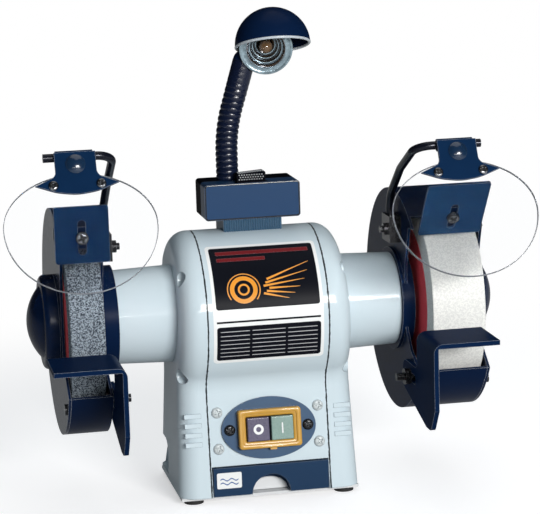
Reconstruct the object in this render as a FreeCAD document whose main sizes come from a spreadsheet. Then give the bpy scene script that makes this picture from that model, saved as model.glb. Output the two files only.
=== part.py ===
import FreeCAD, Part
import math
import os

import Sketcher
from FreeCAD import Placement, Rotation, Vector

# Bench grinder with two wheels, eye shields, a water tray and a flexible lamp.
# X runs along the spindle, Y to the back, Z up from the bench; lengths in mm, angles in degrees.
SIZES = {
    # Motor housing and stand
    "spindle_height": 135.5,
    "base_bottom": 5.0,
    "motor_radius": 61.0,
    "shell_wall": 3.0,
    "band_half": 45.0,
    "cover_half": 68.0,
    "cover_top_half": 61.5,
    "seam_gap": 0.4,
    "stand_half_depth": 52.0,
    "stand_top_half": 35.0,
    "waist_round": 18.0,
    "shoulder_round": 14.0,
    "tube_reach": 38.5,
    "tube_root_radius": 36.5,
    "tube_end_radius": 34.9,
    "tube_wall": 4.0,
    "rib_pitch": 7.0,
    "rib_height": 3.4,
    "rib_proud": 0.7,
    "rib_length": 12.5,
    "rib_first_z": 66.0,
    # Base, feet and bench bolts
    "base_plate_gap": 1.0,
    "base_plate_thickness": 2.0,
    "foot_radius": 7.3,
    "foot_inset": 11.0,
    "floor_thickness": 4.0,
    "pocket_depth": 13.0,
    "pocket_length": 38.0,
    "pocket_inset": 5.0,
    "pocket_top": 34.0,
    "bench_bolt_edge": 6.5,
    "bench_bolt_inset": 28.0,
    "bench_hole_radius": 3.5,
    # Water tray
    "tray_front_half": 43.4,
    "tray_front_top": 27.0,
    "tray_front_wall": 3.0,
    "tray_wall": 2.0,
    "tray_depth": 78.0,
    "tray_height": 18.0,
    "tray_clearance": 0.6,
    "notch_radius": 14.5,
    "notch_depth": 12.0,
    # Motor inside
    "stator_half": 24.0,
    "rotor_radius": 30.0,
    "air_gap": 0.4,
    "winding_outer": 44.5,
    "winding_length": 11.0,
    "bearing_outer": 17.5,
    "bearing_bore": 7.5,
    "bearing_width": 11.0,
    "bearing_start": 62.0,
    "shaft_radius": 9.0,
    "spindle_end_radius": 6.35,
    "running_gap": 0.05,
    "upper_screw_inset": 9.0,
    "upper_screw_angle": 39.0,
    "lower_screw_inset": 6.45,
    "lower_screw_angle": 47.8,
    "capacitor_radius": 11.0,
    "capacitor_half": 28.0,
    "capacitor_inset": 24.0,
    "capacitor_lift": 6.0,
    # Wheels and their flanges
    "wheel_radius": 75.0,
    "left_wheel_width": 25.0,
    "right_wheel_width": 40.0,
    "left_wheel_gap": 2.3,
    "right_wheel_gap": 8.7,
    "blotter_radius": 58.0,
    "blotter_thickness": 0.5,
    "flange_radius": 27.0,
    "flange_thickness": 5.0,
    "nut_across": 19.0,
    "nut_height": 8.0,
    "spindle_overhang": 2.5,
    # Guards
    "guard_radius": 84.0,
    "guard_sheet": 2.0,
    "left_guard_step": 10.5,
    "right_guard_step": 2.5,
    "left_cover_gap": 1.2,
    "right_cover_gap": 1.4,
    "collar_radius": 39.0,
    "collar_bore": 20.0,
    "right_collar_reach": 5.0,
    "left_collar_reach": 0.5,
    "bay_edge": 44.0,
    "pan_edge": 35.0,
    "guard_top_angle": 56.0,
    "guard_low_angle": 30.5,
    "boss_radius": 35.0,
    "boss_height": 10.5,
    "dome_radius": 27.0,
    "dome_height": 10.5,
    # Spark arresters
    "left_spark_width": 39.0,
    "left_spark_shift": 0.0,
    "left_spark_length": 41.0,
    "left_spark_lean": 0.0,
    "left_spark_y": -62.0,
    "left_spark_z": 54.0,
    "right_spark_width": 47.0,
    "right_spark_shift": -2.2,
    "right_spark_length": 52.0,
    "right_spark_lean": 38.0,
    "right_spark_y": -55.0,
    "right_spark_z": 58.0,
    "spark_sheet": 2.0,
    "spark_slot_low": 6.0,
    "spark_slot_high": 31.0,
    "spark_screw_up": 18.0,
    "screw_radius": 2.5,
    "slot_clearance": 0.4,
    # Tool rests
    "rest_top": -10.0,
    "rest_back": -79.0,
    "rest_depth": 47.0,
    "rest_sheet": 3.5,
    "left_rest_width": 51.0,
    "right_rest_width": 49.0,
    "rest_bend": 7.0,
    "rest_arm_z": -48.0,
    "rest_bolt_y": -58.0,
    "rest_bolt_radius": 3.0,
    "rest_bolt_head": 5.5,
    "rest_bolt_nut": 6.0,
    "rest_bolt_reach": 10.5,
    "rest_slot_half": 13.0,
    "rest_heel": 17.0,
    # Eye shields
    "rod_radius": 3.0,
    "rod_y": -12.0,
    "rod_bottom": 46.0,
    "rod_reach_y": -90.0,
    "left_rod_top": 134.0,
    "right_rod_top": 127.5,
    "left_rod_tail": 21.5,
    "right_rod_tail": 19.3,
    "rod_knee_reach": 34.0,
    "rod_knee_rise": 60.0,
    "clamp_size": 9.0,
    "clamp_front": 15.0,
    "clamp_rear": 7.0,
    "clamp_height": 20.0,
    "clamp_bolt_front": 9.0,
    "left_shield_shift": 6.2,
    "right_shield_shift": -6.7,
    "shield_lean": 27.0,
    "bracket_sheet": 2.0,
    "bracket_half": 14.3,
    "bracket_tip": 29.0,
    "bracket_top": 1.5,
    "bracket_shoulder": 16.0,
    "bracket_tip_drop": 22.0,
    "bracket_low": 27.5,
    "bracket_bottom": 29.5,
    "bracket_waist_round": 6.0,
    "bracket_low_round": 40.0,
    "sleeve_wall": 1.5,
    "sleeve_half": 13.0,
    "lens_half_width": 53.2,
    "lens_low_half": 48.0,
    "lens_high_half": 38.0,
    "lens_drop": 52.0,
    "lens_thickness": 2.0,
    "lens_screw_x": 16.5,
    "lens_screw_drop": 22.5,
    "dome_bolt_radius": 6.8,
    "dome_bolt_drop": 7.5,
    "dome_bolt_height": 3.2,
    # Switch
    "panel_drop": 58.1,
    "panel_lift": 3.6,
    "switch_plate_half": 35.5,
    "switch_plate_margin": 0.4,
    "switch_plate_sheet": 2.0,
    "plate_screw_x": 29.5,
    "panel_screw_x": 38.0,
    "panel_screw_z": 13.5,
    "frame_half_width": 23.5,
    "frame_half_height": 14.5,
    "frame_depth": 6.0,
    "button_width": 16.5,
    "button_height": 17.5,
    "button_proud": 1.5,
    "button_gap": 0.5,
    "button_travel": 3.0,
    # Lamp
    "pedestal_half": 22.0,
    "box_half_width": 36.0,
    "pedestal_height": 8.5,
    "box_height": 27.0,
    "box_front": -12.0,
    "box_split": 6.0,
    "box_back": 27.0,
    "box_wall": 2.5,
    "box_round": 2.4,
    "rocker_width": 22.0,
    "rocker_depth": 10.2,
    "rocker_height": 8.0,
    "rocker_x": 0.0,
    "rocker_inset": 2.8,
    "neck_x": -14.5,
    "neck_y": 10.0,
    "neck_radius": 8.2,
    "neck_groove": 1.2,
    "neck_bore": 2.5,
    "neck_ball": 5.0,
    "neck_gap": 1.9,
    "neck_pitch": 4.3,
    "neck_straight": 20.0,
    "neck_arc_radius": 120.0,
    "neck_turn": 17.0,
    "neck_end_straight": 18.8,
    "collar_length": 16.2,
    "hood_radius": 28.0,
    "hood_wall": 1.5,
    "hood_x": 21.0,
    "hood_y": 0.0,
    "hood_rise": 100.0,
    "hood_tilt": 17.0,
    "bowl_radius": 19.8,
    "bowl_wall": 1.5,
    "bowl_aside": 6.0,
    "bowl_forward": 4.0,
    "bowl_drop": 2.0,
    "lamp_turn": 9.0,
    "lamp_dip": 12.0,
    "reflector_mouth": 13.5,
    "reflector_depth": 12.0,
    "bulb_radius": 5.0,
}

doc = FreeCAD.newDocument("bench_grinder")
sheet = doc.addObject("Spreadsheet::Sheet", "Sizes")
for row, (alias, number) in enumerate(SIZES.items(), start=1):
    sheet.set(f"A{row}", alias)
    sheet.set(f"B{row}", str(number))
    sheet.setAlias(f"B{row}", alias)
doc.recompute()


class Size:
    """A length that carries its value and the sheet formula it comes from."""

    def __init__(self, value, formula):
        self.value = value
        self.formula = formula

    def __add__(self, other):
        other = as_size(other)
        return Size(self.value + other.value, f"({self.formula} + {other.formula})")

    def __radd__(self, other):
        return as_size(other) + self

    def __sub__(self, other):
        other = as_size(other)
        return Size(self.value - other.value, f"({self.formula} - {other.formula})")

    def __rsub__(self, other):
        return as_size(other) - self

    def __mul__(self, other):
        other = as_size(other)
        return Size(self.value * other.value, f"({self.formula} * {other.formula})")

    def __rmul__(self, other):
        return as_size(other) * self

    def __truediv__(self, other):
        other = as_size(other)
        return Size(self.value / other.value, f"({self.formula} / {other.formula})")

    def __neg__(self):
        return Size(-self.value, f"(0 - {self.formula})")

    def __float__(self):
        return float(self.value)


def as_size(number):
    """A Size stays as it is; a plain number becomes a constant formula."""
    if isinstance(number, Size):
        return number
    return Size(float(number), f"({float(number)})")


class Sheet:
    """Reads a driving dimension by its alias, as sizes.NAME."""

    def __getattr__(self, alias):
        return Size(float(sheet.get(alias)), f"Sizes.{alias}")


sizes = Sheet()
nodes = []


def bind(thing, prop, length):
    """Drive one property of an object from the sheet."""
    thing.setExpression(prop, as_size(length).formula)


def node(thing, label):
    """Mark a document object as one finished piece of the grinder."""
    thing.Label = label
    nodes.append(thing)
    return thing


def put(thing, corner, frame=None, turn=None):
    """Place an object: its corner follows the sheet, or a tilted frame where one is given."""
    turn = turn or Rotation()
    if frame is None:
        thing.Placement = Placement(Vector(), turn)
        for axis, length in zip("xyz", corner):
            bind(thing, f"Placement.Base.{axis}", length)
    else:
        thing.Placement = frame.multiply(Placement(Vector(*map(float, corner)), turn))
    return thing


def block(name, x_range, y_range, z_range, frame=None):
    """Box between two limits on each axis."""
    box = doc.addObject("Part::Box", name)
    for prop, (low, high) in zip(("Length", "Width", "Height"), (x_range, y_range, z_range)):
        bind(box, prop, as_size(high) - low)
    return put(box, (x_range[0], y_range[0], z_range[0]), frame)


TURN_TO = {
    "X": Rotation(Vector(0, 1, 0), 90),
    "Y": Rotation(Vector(1, 0, 0), -90),
    "Z": Rotation(),
}


def rod(name, axis, radius, limits, across, frame=None):
    """Cylinder along an axis between two limits; across gives its place on the other two axes."""
    bar = doc.addObject("Part::Cylinder", name)
    bind(bar, "Radius", radius)
    bind(bar, "Height", as_size(limits[1]) - limits[0])
    start = list(across)
    start.insert("XYZ".index(axis), limits[0])
    return put(bar, start, frame, TURN_TO[axis])


def taper(name, radius_a, radius_b, limits, across):
    """Cone along X from radius_a at the first limit to radius_b at the second."""
    cone = doc.addObject("Part::Cone", name)
    bind(cone, "Radius1", radius_a)
    bind(cone, "Radius2", radius_b)
    bind(cone, "Height", as_size(limits[1]) - limits[0])
    return put(cone, (limits[0], *across), None, TURN_TO["X"])


def ball(name, radius, centre):
    """Full sphere about a point."""
    globe = doc.addObject("Part::Sphere", name)
    bind(globe, "Radius", radius)
    return put(globe, centre)


def join(name, *pieces):
    """Fuse pieces into one solid."""
    fused = doc.addObject("Part::MultiFuse", name)
    fused.Shapes = list(pieces)
    fused.Refine = True
    return fused


def group(name, *pieces):
    """Keep pieces as separate solids in one group."""
    compound = doc.addObject("Part::Compound", name)
    compound.Links = list(pieces)
    return compound


def cut(name, base, *tools):
    """Take tools away from a base."""
    removed = doc.addObject("Part::Cut", name)
    removed.Base = base
    removed.Tool = tools[0] if len(tools) == 1 else join(f"{name}_tools", *tools)
    removed.Refine = True
    return removed


def overlap(name, first, second):
    """Keep what two shapes share."""
    common = doc.addObject("Part::Common", name)
    common.Base = first
    common.Tool = second
    common.Refine = True
    return common


def rounded(name, base, radius, wanted):
    """Fillet the edges of a shape that the wanted test picks by their middle and direction."""
    doc.recompute()
    fillet = doc.addObject("Part::Fillet", name)
    fillet.Base = base
    picked = []
    for index, edge in enumerate(base.Shape.Edges, start=1):
        middle = edge.valueAt((edge.FirstParameter + edge.LastParameter) / 2)
        if wanted(middle, edge):
            picked.append((index, float(radius), float(radius)))
    fillet.Edges = picked
    return fillet


def origin_plane(body, role):
    """One of a body's own origin planes."""
    return next(plane for plane in body.Origin.OriginFeatures if plane.Role == role)


def outline(body, role, corners, rounds=None):
    """Closed sketch through corners, each bound to the sheet, with rounded corners by index."""
    sketch = body.newObject("Sketcher::SketchObject", f"{body.Name}_outline")
    sketch.AttachmentSupport = [(origin_plane(body, role), "")]
    sketch.MapMode = "FlatFace"
    points = [Vector(float(as_size(a)), float(as_size(b)), 0) for a, b in corners]
    count = len(points)
    for index in range(count):
        sketch.addGeometry(Part.LineSegment(points[index], points[(index + 1) % count]), False)
    for index in range(count):
        sketch.addConstraint(Sketcher.Constraint("Coincident", index, 2, (index + 1) % count, 1))
    for index, corner in enumerate(corners):
        for kind, tag, length in zip(("DistanceX", "DistanceY"), "ab", corner):
            value = float(as_size(length))
            number = sketch.addConstraint(Sketcher.Constraint(kind, -1, 1, index, 1, value))
            sketch.renameConstraint(number, f"corner{index}{tag}")
            bind(sketch, f"Constraints.corner{index}{tag}", length)
    sketch.solve()
    for index, radius in (rounds or {}).items():
        before = sketch.GeometryCount
        sketch.fillet(index, 1, float(as_size(radius)), 1, True)
        arc = next(i for i in range(before, sketch.GeometryCount)
                   if isinstance(sketch.Geometry[i], Part.ArcOfCircle))
        number = sketch.addConstraint(Sketcher.Constraint("Radius", arc, float(as_size(radius))))
        sketch.renameConstraint(number, f"round{index}")
        bind(sketch, f"Constraints.round{index}", radius)
    return sketch


def prism(name, limits, corners, rounds=None, at_z=0.0, frame=None):
    """Plate along X between two limits, with a (Y, Z) outline measured from height at_z."""
    body = doc.addObject("PartDesign::Body", name)
    sketch = outline(body, "YZ_Plane", corners, rounds)
    pad = body.newObject("PartDesign::Pad", f"{name}_pad")
    pad.Profile = sketch
    bind(pad, "Length", as_size(limits[1]) - limits[0])
    return put(body, (limits[0], 0.0, at_z), frame)


def front_plate(name, limits, corners, rounds=None, frame=None):
    """Plate along Y between two limits, with an (X, Z) outline."""
    body = doc.addObject("PartDesign::Body", name)
    sketch = outline(body, "XZ_Plane", corners, rounds)
    pad = body.newObject("PartDesign::Pad", f"{name}_pad")
    pad.Profile = sketch
    bind(pad, "Length", as_size(limits[1]) - limits[0])
    return put(body, (0.0, limits[1], 0.0), frame)


def turned(name, axis, corners, at=(0.0, 0.0, 0.0), frame=None, rounds=None):
    """Lathe piece about X or Z: corners are (along, radius) for X and (radius, along) for Z."""
    body = doc.addObject("PartDesign::Body", name)
    sketch = outline(body, "XZ_Plane", corners, rounds)
    spin = body.newObject("PartDesign::Revolution", f"{name}_spin")
    spin.Profile = sketch
    spin.ReferenceAxis = (sketch, ["H_Axis" if axis == "X" else "V_Axis"])
    spin.Angle = 360
    return put(body, at, frame)


def oval_disc(name, half_width, half_height, thickness, corner, frame):
    """Oval plate that faces along a frame's Y axis, from a centre at its front."""
    edge = doc.addObject("Part::Ellipse", f"{name}_edge")
    bind(edge, "MajorRadius", half_width)
    bind(edge, "MinorRadius", half_height)
    put(edge, corner, frame, TURN_TO["Y"])
    disc = doc.addObject("Part::Extrusion", name)
    disc.Base = edge
    disc.DirMode = "Normal"
    disc.Solid = True
    bind(disc, "LengthFwd", thickness)
    return disc


def span(side, near, far):
    """Limits along X on one side of the machine, from a near to a far distance."""
    if side > 0:
        return (as_size(near), as_size(far))
    return (-as_size(far), -as_size(near))


SIDES = (("left", -1), ("right", 1))
axis_z = sizes.spindle_height
on_axis = (0.0, axis_z)

# Lean of the stand's front face, from its foot up to the spindle's height.
stand_rise = float(sizes.spindle_height - sizes.base_bottom)
stand_lean = math.degrees(math.atan2(float(sizes.stand_half_depth - sizes.stand_top_half), stand_rise))


def stand_face(height):
    """Distance of the stand's front face from the middle at a height above the bench."""
    share = (height - sizes.base_bottom) / (sizes.spindle_height - sizes.base_bottom)
    return sizes.stand_half_depth - share * (sizes.stand_half_depth - sizes.stand_top_half)


def side_face(height):
    """Distance of an end cover's leaning side from the middle at a height above the bench."""
    share = (height - sizes.base_bottom) / (axis_z + sizes.motor_radius - sizes.base_bottom)
    return sizes.cover_half - share * (sizes.cover_half - sizes.cover_top_half)


# Housing: a motor barrel on a tapering stand with leaning sides, cut into a band and two end covers
def housing_form(name, inset):
    """Outer form of the housing drawn in by an inset, with rounded waists and shoulders."""
    half = sizes.cover_half - inset
    top_half = sizes.cover_top_half - inset
    crown = axis_z + sizes.motor_radius
    barrel = rod(f"{name}_barrel", "X", sizes.motor_radius - inset, (-half, half), on_axis)
    foot = sizes.stand_half_depth - inset
    top = sizes.stand_top_half - inset
    stand = prism(f"{name}_stand", (-half, half), [
        (-foot, sizes.base_bottom), (foot, sizes.base_bottom), (top, axis_z), (-top, axis_z)])
    waist = rounded(f"{name}_waist", join(f"{name}_block", barrel, stand), sizes.waist_round + inset,
                    lambda middle, edge: abs(middle.x) < 1 and middle.z < float(axis_z)
                    and middle.z > float(sizes.base_bottom) + 1)
    sides = front_plate(f"{name}_sides", (-sizes.motor_radius * 2, sizes.motor_radius * 2), [
        (-half, sizes.base_bottom), (half, sizes.base_bottom), (top_half, crown), (-top_half, crown)])
    leaning = overlap(f"{name}_leaning", waist, sides)
    return rounded(f"{name}_shoulders", leaning, sizes.shoulder_round - inset,
                   lambda middle, edge: abs(middle.x) > float(side_face(as_size(middle.z)) - inset) - 0.1
                   and middle.z > float(sizes.base_bottom) + 1)


shouldered = housing_form("housing_outer", as_size(0.0))
cavity = housing_form("housing_cavity", sizes.shell_wall)
shell = cut("housing_shell", shouldered, cavity)
seam = sizes.band_half - sizes.seam_gap / 2
reach = sizes.motor_radius + sizes.stand_half_depth


def housing_slice(name, limits):
    """Part of the hollow shell between two limits along X."""
    box = block(f"{name}_zone", limits, (-reach, reach), (0.0, sizes.spindle_height * 2))
    return overlap(name, shell, box)


def screw_places():
    """Places of the housing screws: two high in the barrel, two low where it meets the stand."""
    rows = ((sizes.upper_screw_inset, float(sizes.upper_screw_angle)),
            (sizes.lower_screw_inset, -float(sizes.lower_screw_angle)))
    for end in (-1, 1):
        for inset, angle in rows:
            circle = sizes.motor_radius - inset
            turn = math.radians(angle)
            yield end * circle * math.cos(turn), axis_z + circle * math.sin(turn)


SCREW_BOSS = 7.0
SCREW_HEAD = 3.6
SCREW_SHANK = 2.0
SCREW_SEAT = 51.0
SCREW_TIP = 34.0
BOSS_START = 31.0
GLAND_Z = 66.0
GLAND_X = 20.0
GLAND_BORE = 3.8
PLATE_SCREWS = tuple((side * sizes.plate_screw_x, 0.0) for side in (-1, 1))
PANEL_SCREWS = tuple((side * sizes.panel_screw_x, end * sizes.panel_screw_z)
                     for end in (1, -1) for side in (-1, 1))
tube_end = sizes.cover_half + sizes.tube_reach
foot_x = sizes.cover_half - sizes.foot_inset
foot_y = sizes.stand_half_depth - sizes.foot_inset
pocket_back = sizes.stand_half_depth - sizes.pocket_inset
pocket_front = pocket_back - sizes.pocket_length
bench_bolt_x = sizes.cover_half - sizes.bench_bolt_edge
bench_bolt_y = sizes.stand_half_depth - sizes.bench_bolt_inset

# Centre band with its tray window, switch opening and screw bosses
band_bosses = []
band_holes = []
for side_name, side in SIDES:
    for number, place in enumerate(screw_places()):
        tag = f"{side_name}{number}"
        band_bosses.append(rod(f"band_boss_{tag}", "X", SCREW_BOSS, span(side, BOSS_START, seam), place))
        band_holes.append(rod(f"band_hole_{tag}", "X", SCREW_SHANK, span(side, BOSS_START, seam), place))
tray_gap = sizes.tray_clearance
tray_window = block("tray_window", (-sizes.tray_front_half - tray_gap, sizes.tray_front_half + tray_gap),
                    (-reach, 0.0), (0.0, sizes.tray_front_top + tray_gap))
panel_low = sizes.tray_front_top + sizes.panel_lift
panel_top = axis_z - sizes.panel_drop
switch_z = (panel_low + panel_top) / 2
panel_frame = Placement(Vector(0, -float(stand_face(switch_z)), float(switch_z)),
                        Rotation(Vector(1, 0, 0), -stand_lean))
switch_body_half = sizes.frame_half_width - 2.5
switch_body_high = sizes.frame_half_height - 2.5
switch_opening = block("switch_opening", (-switch_body_half, switch_body_half), (-5.0, 12.0),
                       (-switch_body_high, switch_body_high), panel_frame)
panel_holes = [rod(f"panel_hole{number}", "Y", SCREW_SHANK, (-5.0, 8.0), place, panel_frame)
               for number, place in enumerate(PLATE_SCREWS + PANEL_SCREWS)]
cord_hole = rod("cord_hole", "Y", GLAND_BORE,
                (sizes.stand_top_half - sizes.shell_wall, sizes.stand_half_depth), (GLAND_X, GLAND_Z))
outer_trim = overlap("band_bosses_trim", join("band_bosses", *band_bosses), shouldered)
band = join("band_cast", housing_slice("band_slice", (-seam, seam)), outer_trim)
node(cut("band_final", band, tray_window, switch_opening, cord_hole, *band_holes, *panel_holes),
     "motor_housing")

# End covers, each with its tapering spindle tube, bearing seat, bench pocket and grip ribs
POCKET_WALL = 2.5
RECESS_RADIUS = 5.5
WEB_THICKNESS = 3.0
for side_name, side in SIDES:
    name = f"{side_name}_cover"
    inner_edge = sizes.band_half + sizes.seam_gap / 2
    slice_limits = span(side, inner_edge, sizes.cover_half)
    casting = housing_slice(f"{name}_slice", slice_limits)
    tube_start = side_face(axis_z) - sizes.shell_wall
    radii = (sizes.tube_root_radius, sizes.tube_end_radius)
    tube = taper(f"{name}_tube", *(radii if side > 0 else radii[::-1]),
                 span(side, tube_start, tube_end), on_axis)
    seat_end = sizes.bearing_start + sizes.bearing_width
    seat_wall = rod(f"{name}_seat_wall", "X", sizes.bearing_outer + sizes.tube_wall,
                    span(side, sizes.bearing_start, seat_end + WEB_THICKNESS), on_axis)
    tube_hollow = rod(f"{name}_tube_hollow", "X", sizes.tube_end_radius - sizes.tube_wall,
                      span(side, seat_end + WEB_THICKNESS, tube_end + 1), on_axis)
    bearing_seat = rod(f"{name}_bearing_seat", "X", sizes.bearing_outer, span(side, tube_start - 1, seat_end),
                       on_axis)
    shaft_hole = rod(f"{name}_shaft_hole", "X", sizes.shaft_radius + 2,
                     span(side, tube_start - 1, tube_end + 1), on_axis)
    pocket_start = sizes.cover_half - sizes.pocket_depth
    pocket_shell = block(f"{name}_pocket_shell", span(side, pocket_start - POCKET_WALL, sizes.cover_half - 1),
                         (pocket_front - POCKET_WALL, pocket_back + POCKET_WALL),
                         (sizes.base_bottom, sizes.pocket_top + POCKET_WALL))
    pocket = prism(f"{name}_pocket", span(side, pocket_start, sizes.cover_half + 1), [
        (pocket_front, sizes.base_bottom + sizes.floor_thickness),
        (pocket_back, sizes.base_bottom + sizes.floor_thickness),
        (pocket_back, sizes.pocket_top),
        (pocket_front, sizes.pocket_top)], {2: 9.0, 3: 14.0})
    bench_hole = rod(f"{name}_bench_hole", "Z", sizes.bench_hole_radius,
                     (0.0, sizes.pocket_top), (side * bench_bolt_x, bench_bolt_y))
    floor_front = block(f"{name}_floor", span(side, inner_edge, sizes.cover_half - 1),
                        (-sizes.stand_half_depth + 1, -foot_y + 11.0),
                        (sizes.base_bottom, sizes.base_bottom + sizes.floor_thickness))
    floor_rear = block(f"{name}_floor_rear", span(side, inner_edge, sizes.cover_half - 1),
                       (pocket_front, sizes.stand_half_depth - 1),
                       (sizes.base_bottom, sizes.base_bottom + sizes.floor_thickness))
    inside = overlap(f"{name}_inside", join(f"{name}_inner_parts", pocket_shell, floor_front, floor_rear),
                     shouldered)
    bosses = []
    screw_holes = []
    for number, place in enumerate(screw_places()):
        bosses.append(rod(f"{name}_boss{number}", "X", SCREW_BOSS,
                          span(side, inner_edge, sizes.cover_half - 1), place))
        screw_holes.append(rod(f"{name}_recess{number}", "X", RECESS_RADIUS,
                               span(side, SCREW_SEAT, sizes.cover_half + 1), place))
        screw_holes.append(rod(f"{name}_screw_hole{number}", "X", SCREW_SHANK,
                               span(side, inner_edge, sizes.cover_half), place))
    boss_trim = overlap(f"{name}_boss_trim", join(f"{name}_bosses", *bosses), shouldered)
    foot_holes = [rod(f"{name}_foot_hole{end}", "Z", SCREW_SHANK, (0.0, 8.0),
                      (side * foot_x, end * foot_y)) for end in (-1, 1)]
    ribs = []
    for number in range(4):
        rib_z = sizes.rib_first_z - number * sizes.rib_pitch
        rib_frame = Placement(Vector(0, -float(stand_face(rib_z)), float(rib_z)),
                              Rotation(Vector(1, 0, 0), -stand_lean))
        rib_start = sizes.band_half + 5
        ribs.append(block(f"{name}_rib{number}", span(side, rib_start, rib_start + sizes.rib_length),
                          (-sizes.rib_proud, 1.5), (-sizes.rib_height / 2, sizes.rib_height / 2),
                          rib_frame))
    cast = join(f"{name}_cast", casting, tube, seat_wall, inside, boss_trim, *ribs)
    node(cut(f"{name}_final", cast, tube_hollow, bearing_seat, shaft_hole, pocket, bench_hole,
             *screw_holes, *foot_holes), f"{side_name}_end_cover")

# Steel base plate, rubber feet and the screws that hold them
plate_half_x = sizes.cover_half - sizes.base_plate_gap
plate_half_y = sizes.stand_half_depth - sizes.base_plate_gap - 3
plate_low = sizes.base_bottom - sizes.base_plate_thickness
plate = block("base_sheet", (-plate_half_x, plate_half_x), (-plate_half_y, plate_half_y),
              (plate_low, sizes.base_bottom))
plate_holes = []
feet = []
foot_screws = []
FOOT_HEAD = 3.8
FOOT_HEAD_LOW = 1.0
FOOT_HEAD_HIGH = 2.6
for side_name, side in SIDES:
    plate_holes.append(rod(f"base_bench_hole_{side_name}", "Z", sizes.bench_hole_radius, (0.0, 8.0),
                           (side * bench_bolt_x, bench_bolt_y)))
    for end in (-1, 1):
        place = (side * foot_x, end * foot_y)
        tag = f"{side_name}{'front' if end < 0 else 'back'}"
        plate_holes.append(rod(f"base_foot_hole_{tag}", "Z", SCREW_SHANK, (0.0, 8.0), place))
        pad = rod(f"foot_pad_{tag}", "Z", sizes.foot_radius, (0.0, plate_low), place)
        well = rod(f"foot_well_{tag}", "Z", FOOT_HEAD, (-1.0, FOOT_HEAD_HIGH), place)
        stem_hole = rod(f"foot_stem_hole_{tag}", "Z", SCREW_SHANK, (0.0, plate_low + 1), place)
        feet.append(cut(f"foot_{tag}", pad, well, stem_hole))
        head = rod(f"foot_screw_head_{tag}", "Z", FOOT_HEAD, (FOOT_HEAD_LOW, FOOT_HEAD_HIGH), place)
        stem = rod(f"foot_screw_stem_{tag}", "Z", SCREW_SHANK, (FOOT_HEAD_HIGH, 8.0), place)
        foot_screws.append(join(f"foot_screw_{tag}", head, stem))
node(cut("base_final", plate, *plate_holes), "base_plate")
node(group("feet", *feet), "rubber_feet")
node(group("foot_screw_group", *foot_screws), "foot_screws")

# Screws that draw the end covers onto the band
housing_screws = []
for side_name, side in SIDES:
    for number, place in enumerate(screw_places()):
        tag = f"{side_name}{number}"
        head = rod(f"housing_head_{tag}", "X", SCREW_HEAD, span(side, SCREW_SEAT, SCREW_SEAT + 2.4), place)
        stem = rod(f"housing_stem_{tag}", "X", SCREW_SHANK, span(side, SCREW_TIP, SCREW_SEAT), place)
        housing_screws.append(join(f"housing_screw_{tag}", head, stem))
node(group("housing_screw_group", *housing_screws), "housing_screws")

# Motor: stator pressed in the band, its end windings, and the capacitor in the stand
bore = sizes.rotor_radius + sizes.air_gap
core = rod("stator_body", "X", sizes.motor_radius - sizes.shell_wall,
           (-sizes.stator_half, sizes.stator_half), on_axis)
core_bore = rod("stator_bore", "X", bore, (-sizes.stator_half - 1, sizes.stator_half + 1), on_axis)
node(cut("stator", core, core_bore), "stator_core")
coils = []
for side_name, side in SIDES:
    coil_end = sizes.stator_half + sizes.winding_length
    coils.append(turned(f"winding_{side_name}", "X", [
        (side * sizes.stator_half, bore + 2), (side * coil_end, bore + 2),
        (side * coil_end, sizes.winding_outer), (side * sizes.stator_half, sizes.winding_outer)],
        (0.0, 0.0, axis_z), rounds={1: 3.0, 2: 3.0}))
node(group("windings", *coils), "stator_windings")
shelf_low = sizes.tray_front_top + tray_gap + 0.4
SHELF_SHEET = 1.5
capacitor_place = (sizes.stand_half_depth - sizes.capacitor_inset,
                   shelf_low + sizes.capacitor_radius + sizes.capacitor_lift)
node(rod("capacitor", "X", sizes.capacitor_radius, (-sizes.capacitor_half, sizes.capacitor_half),
         capacitor_place), "run_capacitor")

# Shelf above the water tray that carries the capacitor in a cradle
shelf_high = shelf_low + SHELF_SHEET
shelf_half_y = sizes.stand_half_depth - sizes.shell_wall - 5
shelf = block("shelf_sheet", (-seam, seam), (-shelf_half_y, shelf_half_y), (shelf_low, shelf_high))
shelf_legs = [block(f"shelf_leg_{side_name}", span(side, seam - SHELF_SHEET, seam), (-10.0, shelf_half_y),
                    (sizes.base_bottom, shelf_high)) for side_name, side in SIDES]
cradle_half = sizes.capacitor_radius * 0.7
cradle = block("capacitor_cradle", (-sizes.capacitor_half * 0.7, sizes.capacitor_half * 0.7),
               (capacitor_place[0] - cradle_half, capacitor_place[0] + cradle_half),
               (shelf_low, capacitor_place[1] - sizes.capacitor_radius * 0.45))
cradle_seat = rod("capacitor_seat", "X", sizes.capacitor_radius,
                  (-sizes.capacitor_half - 2, sizes.capacitor_half + 2), capacitor_place)
node(cut("shelf_final", join("shelf_body", shelf, *shelf_legs, cradle), cradle_seat), "tray_shelf")

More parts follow.
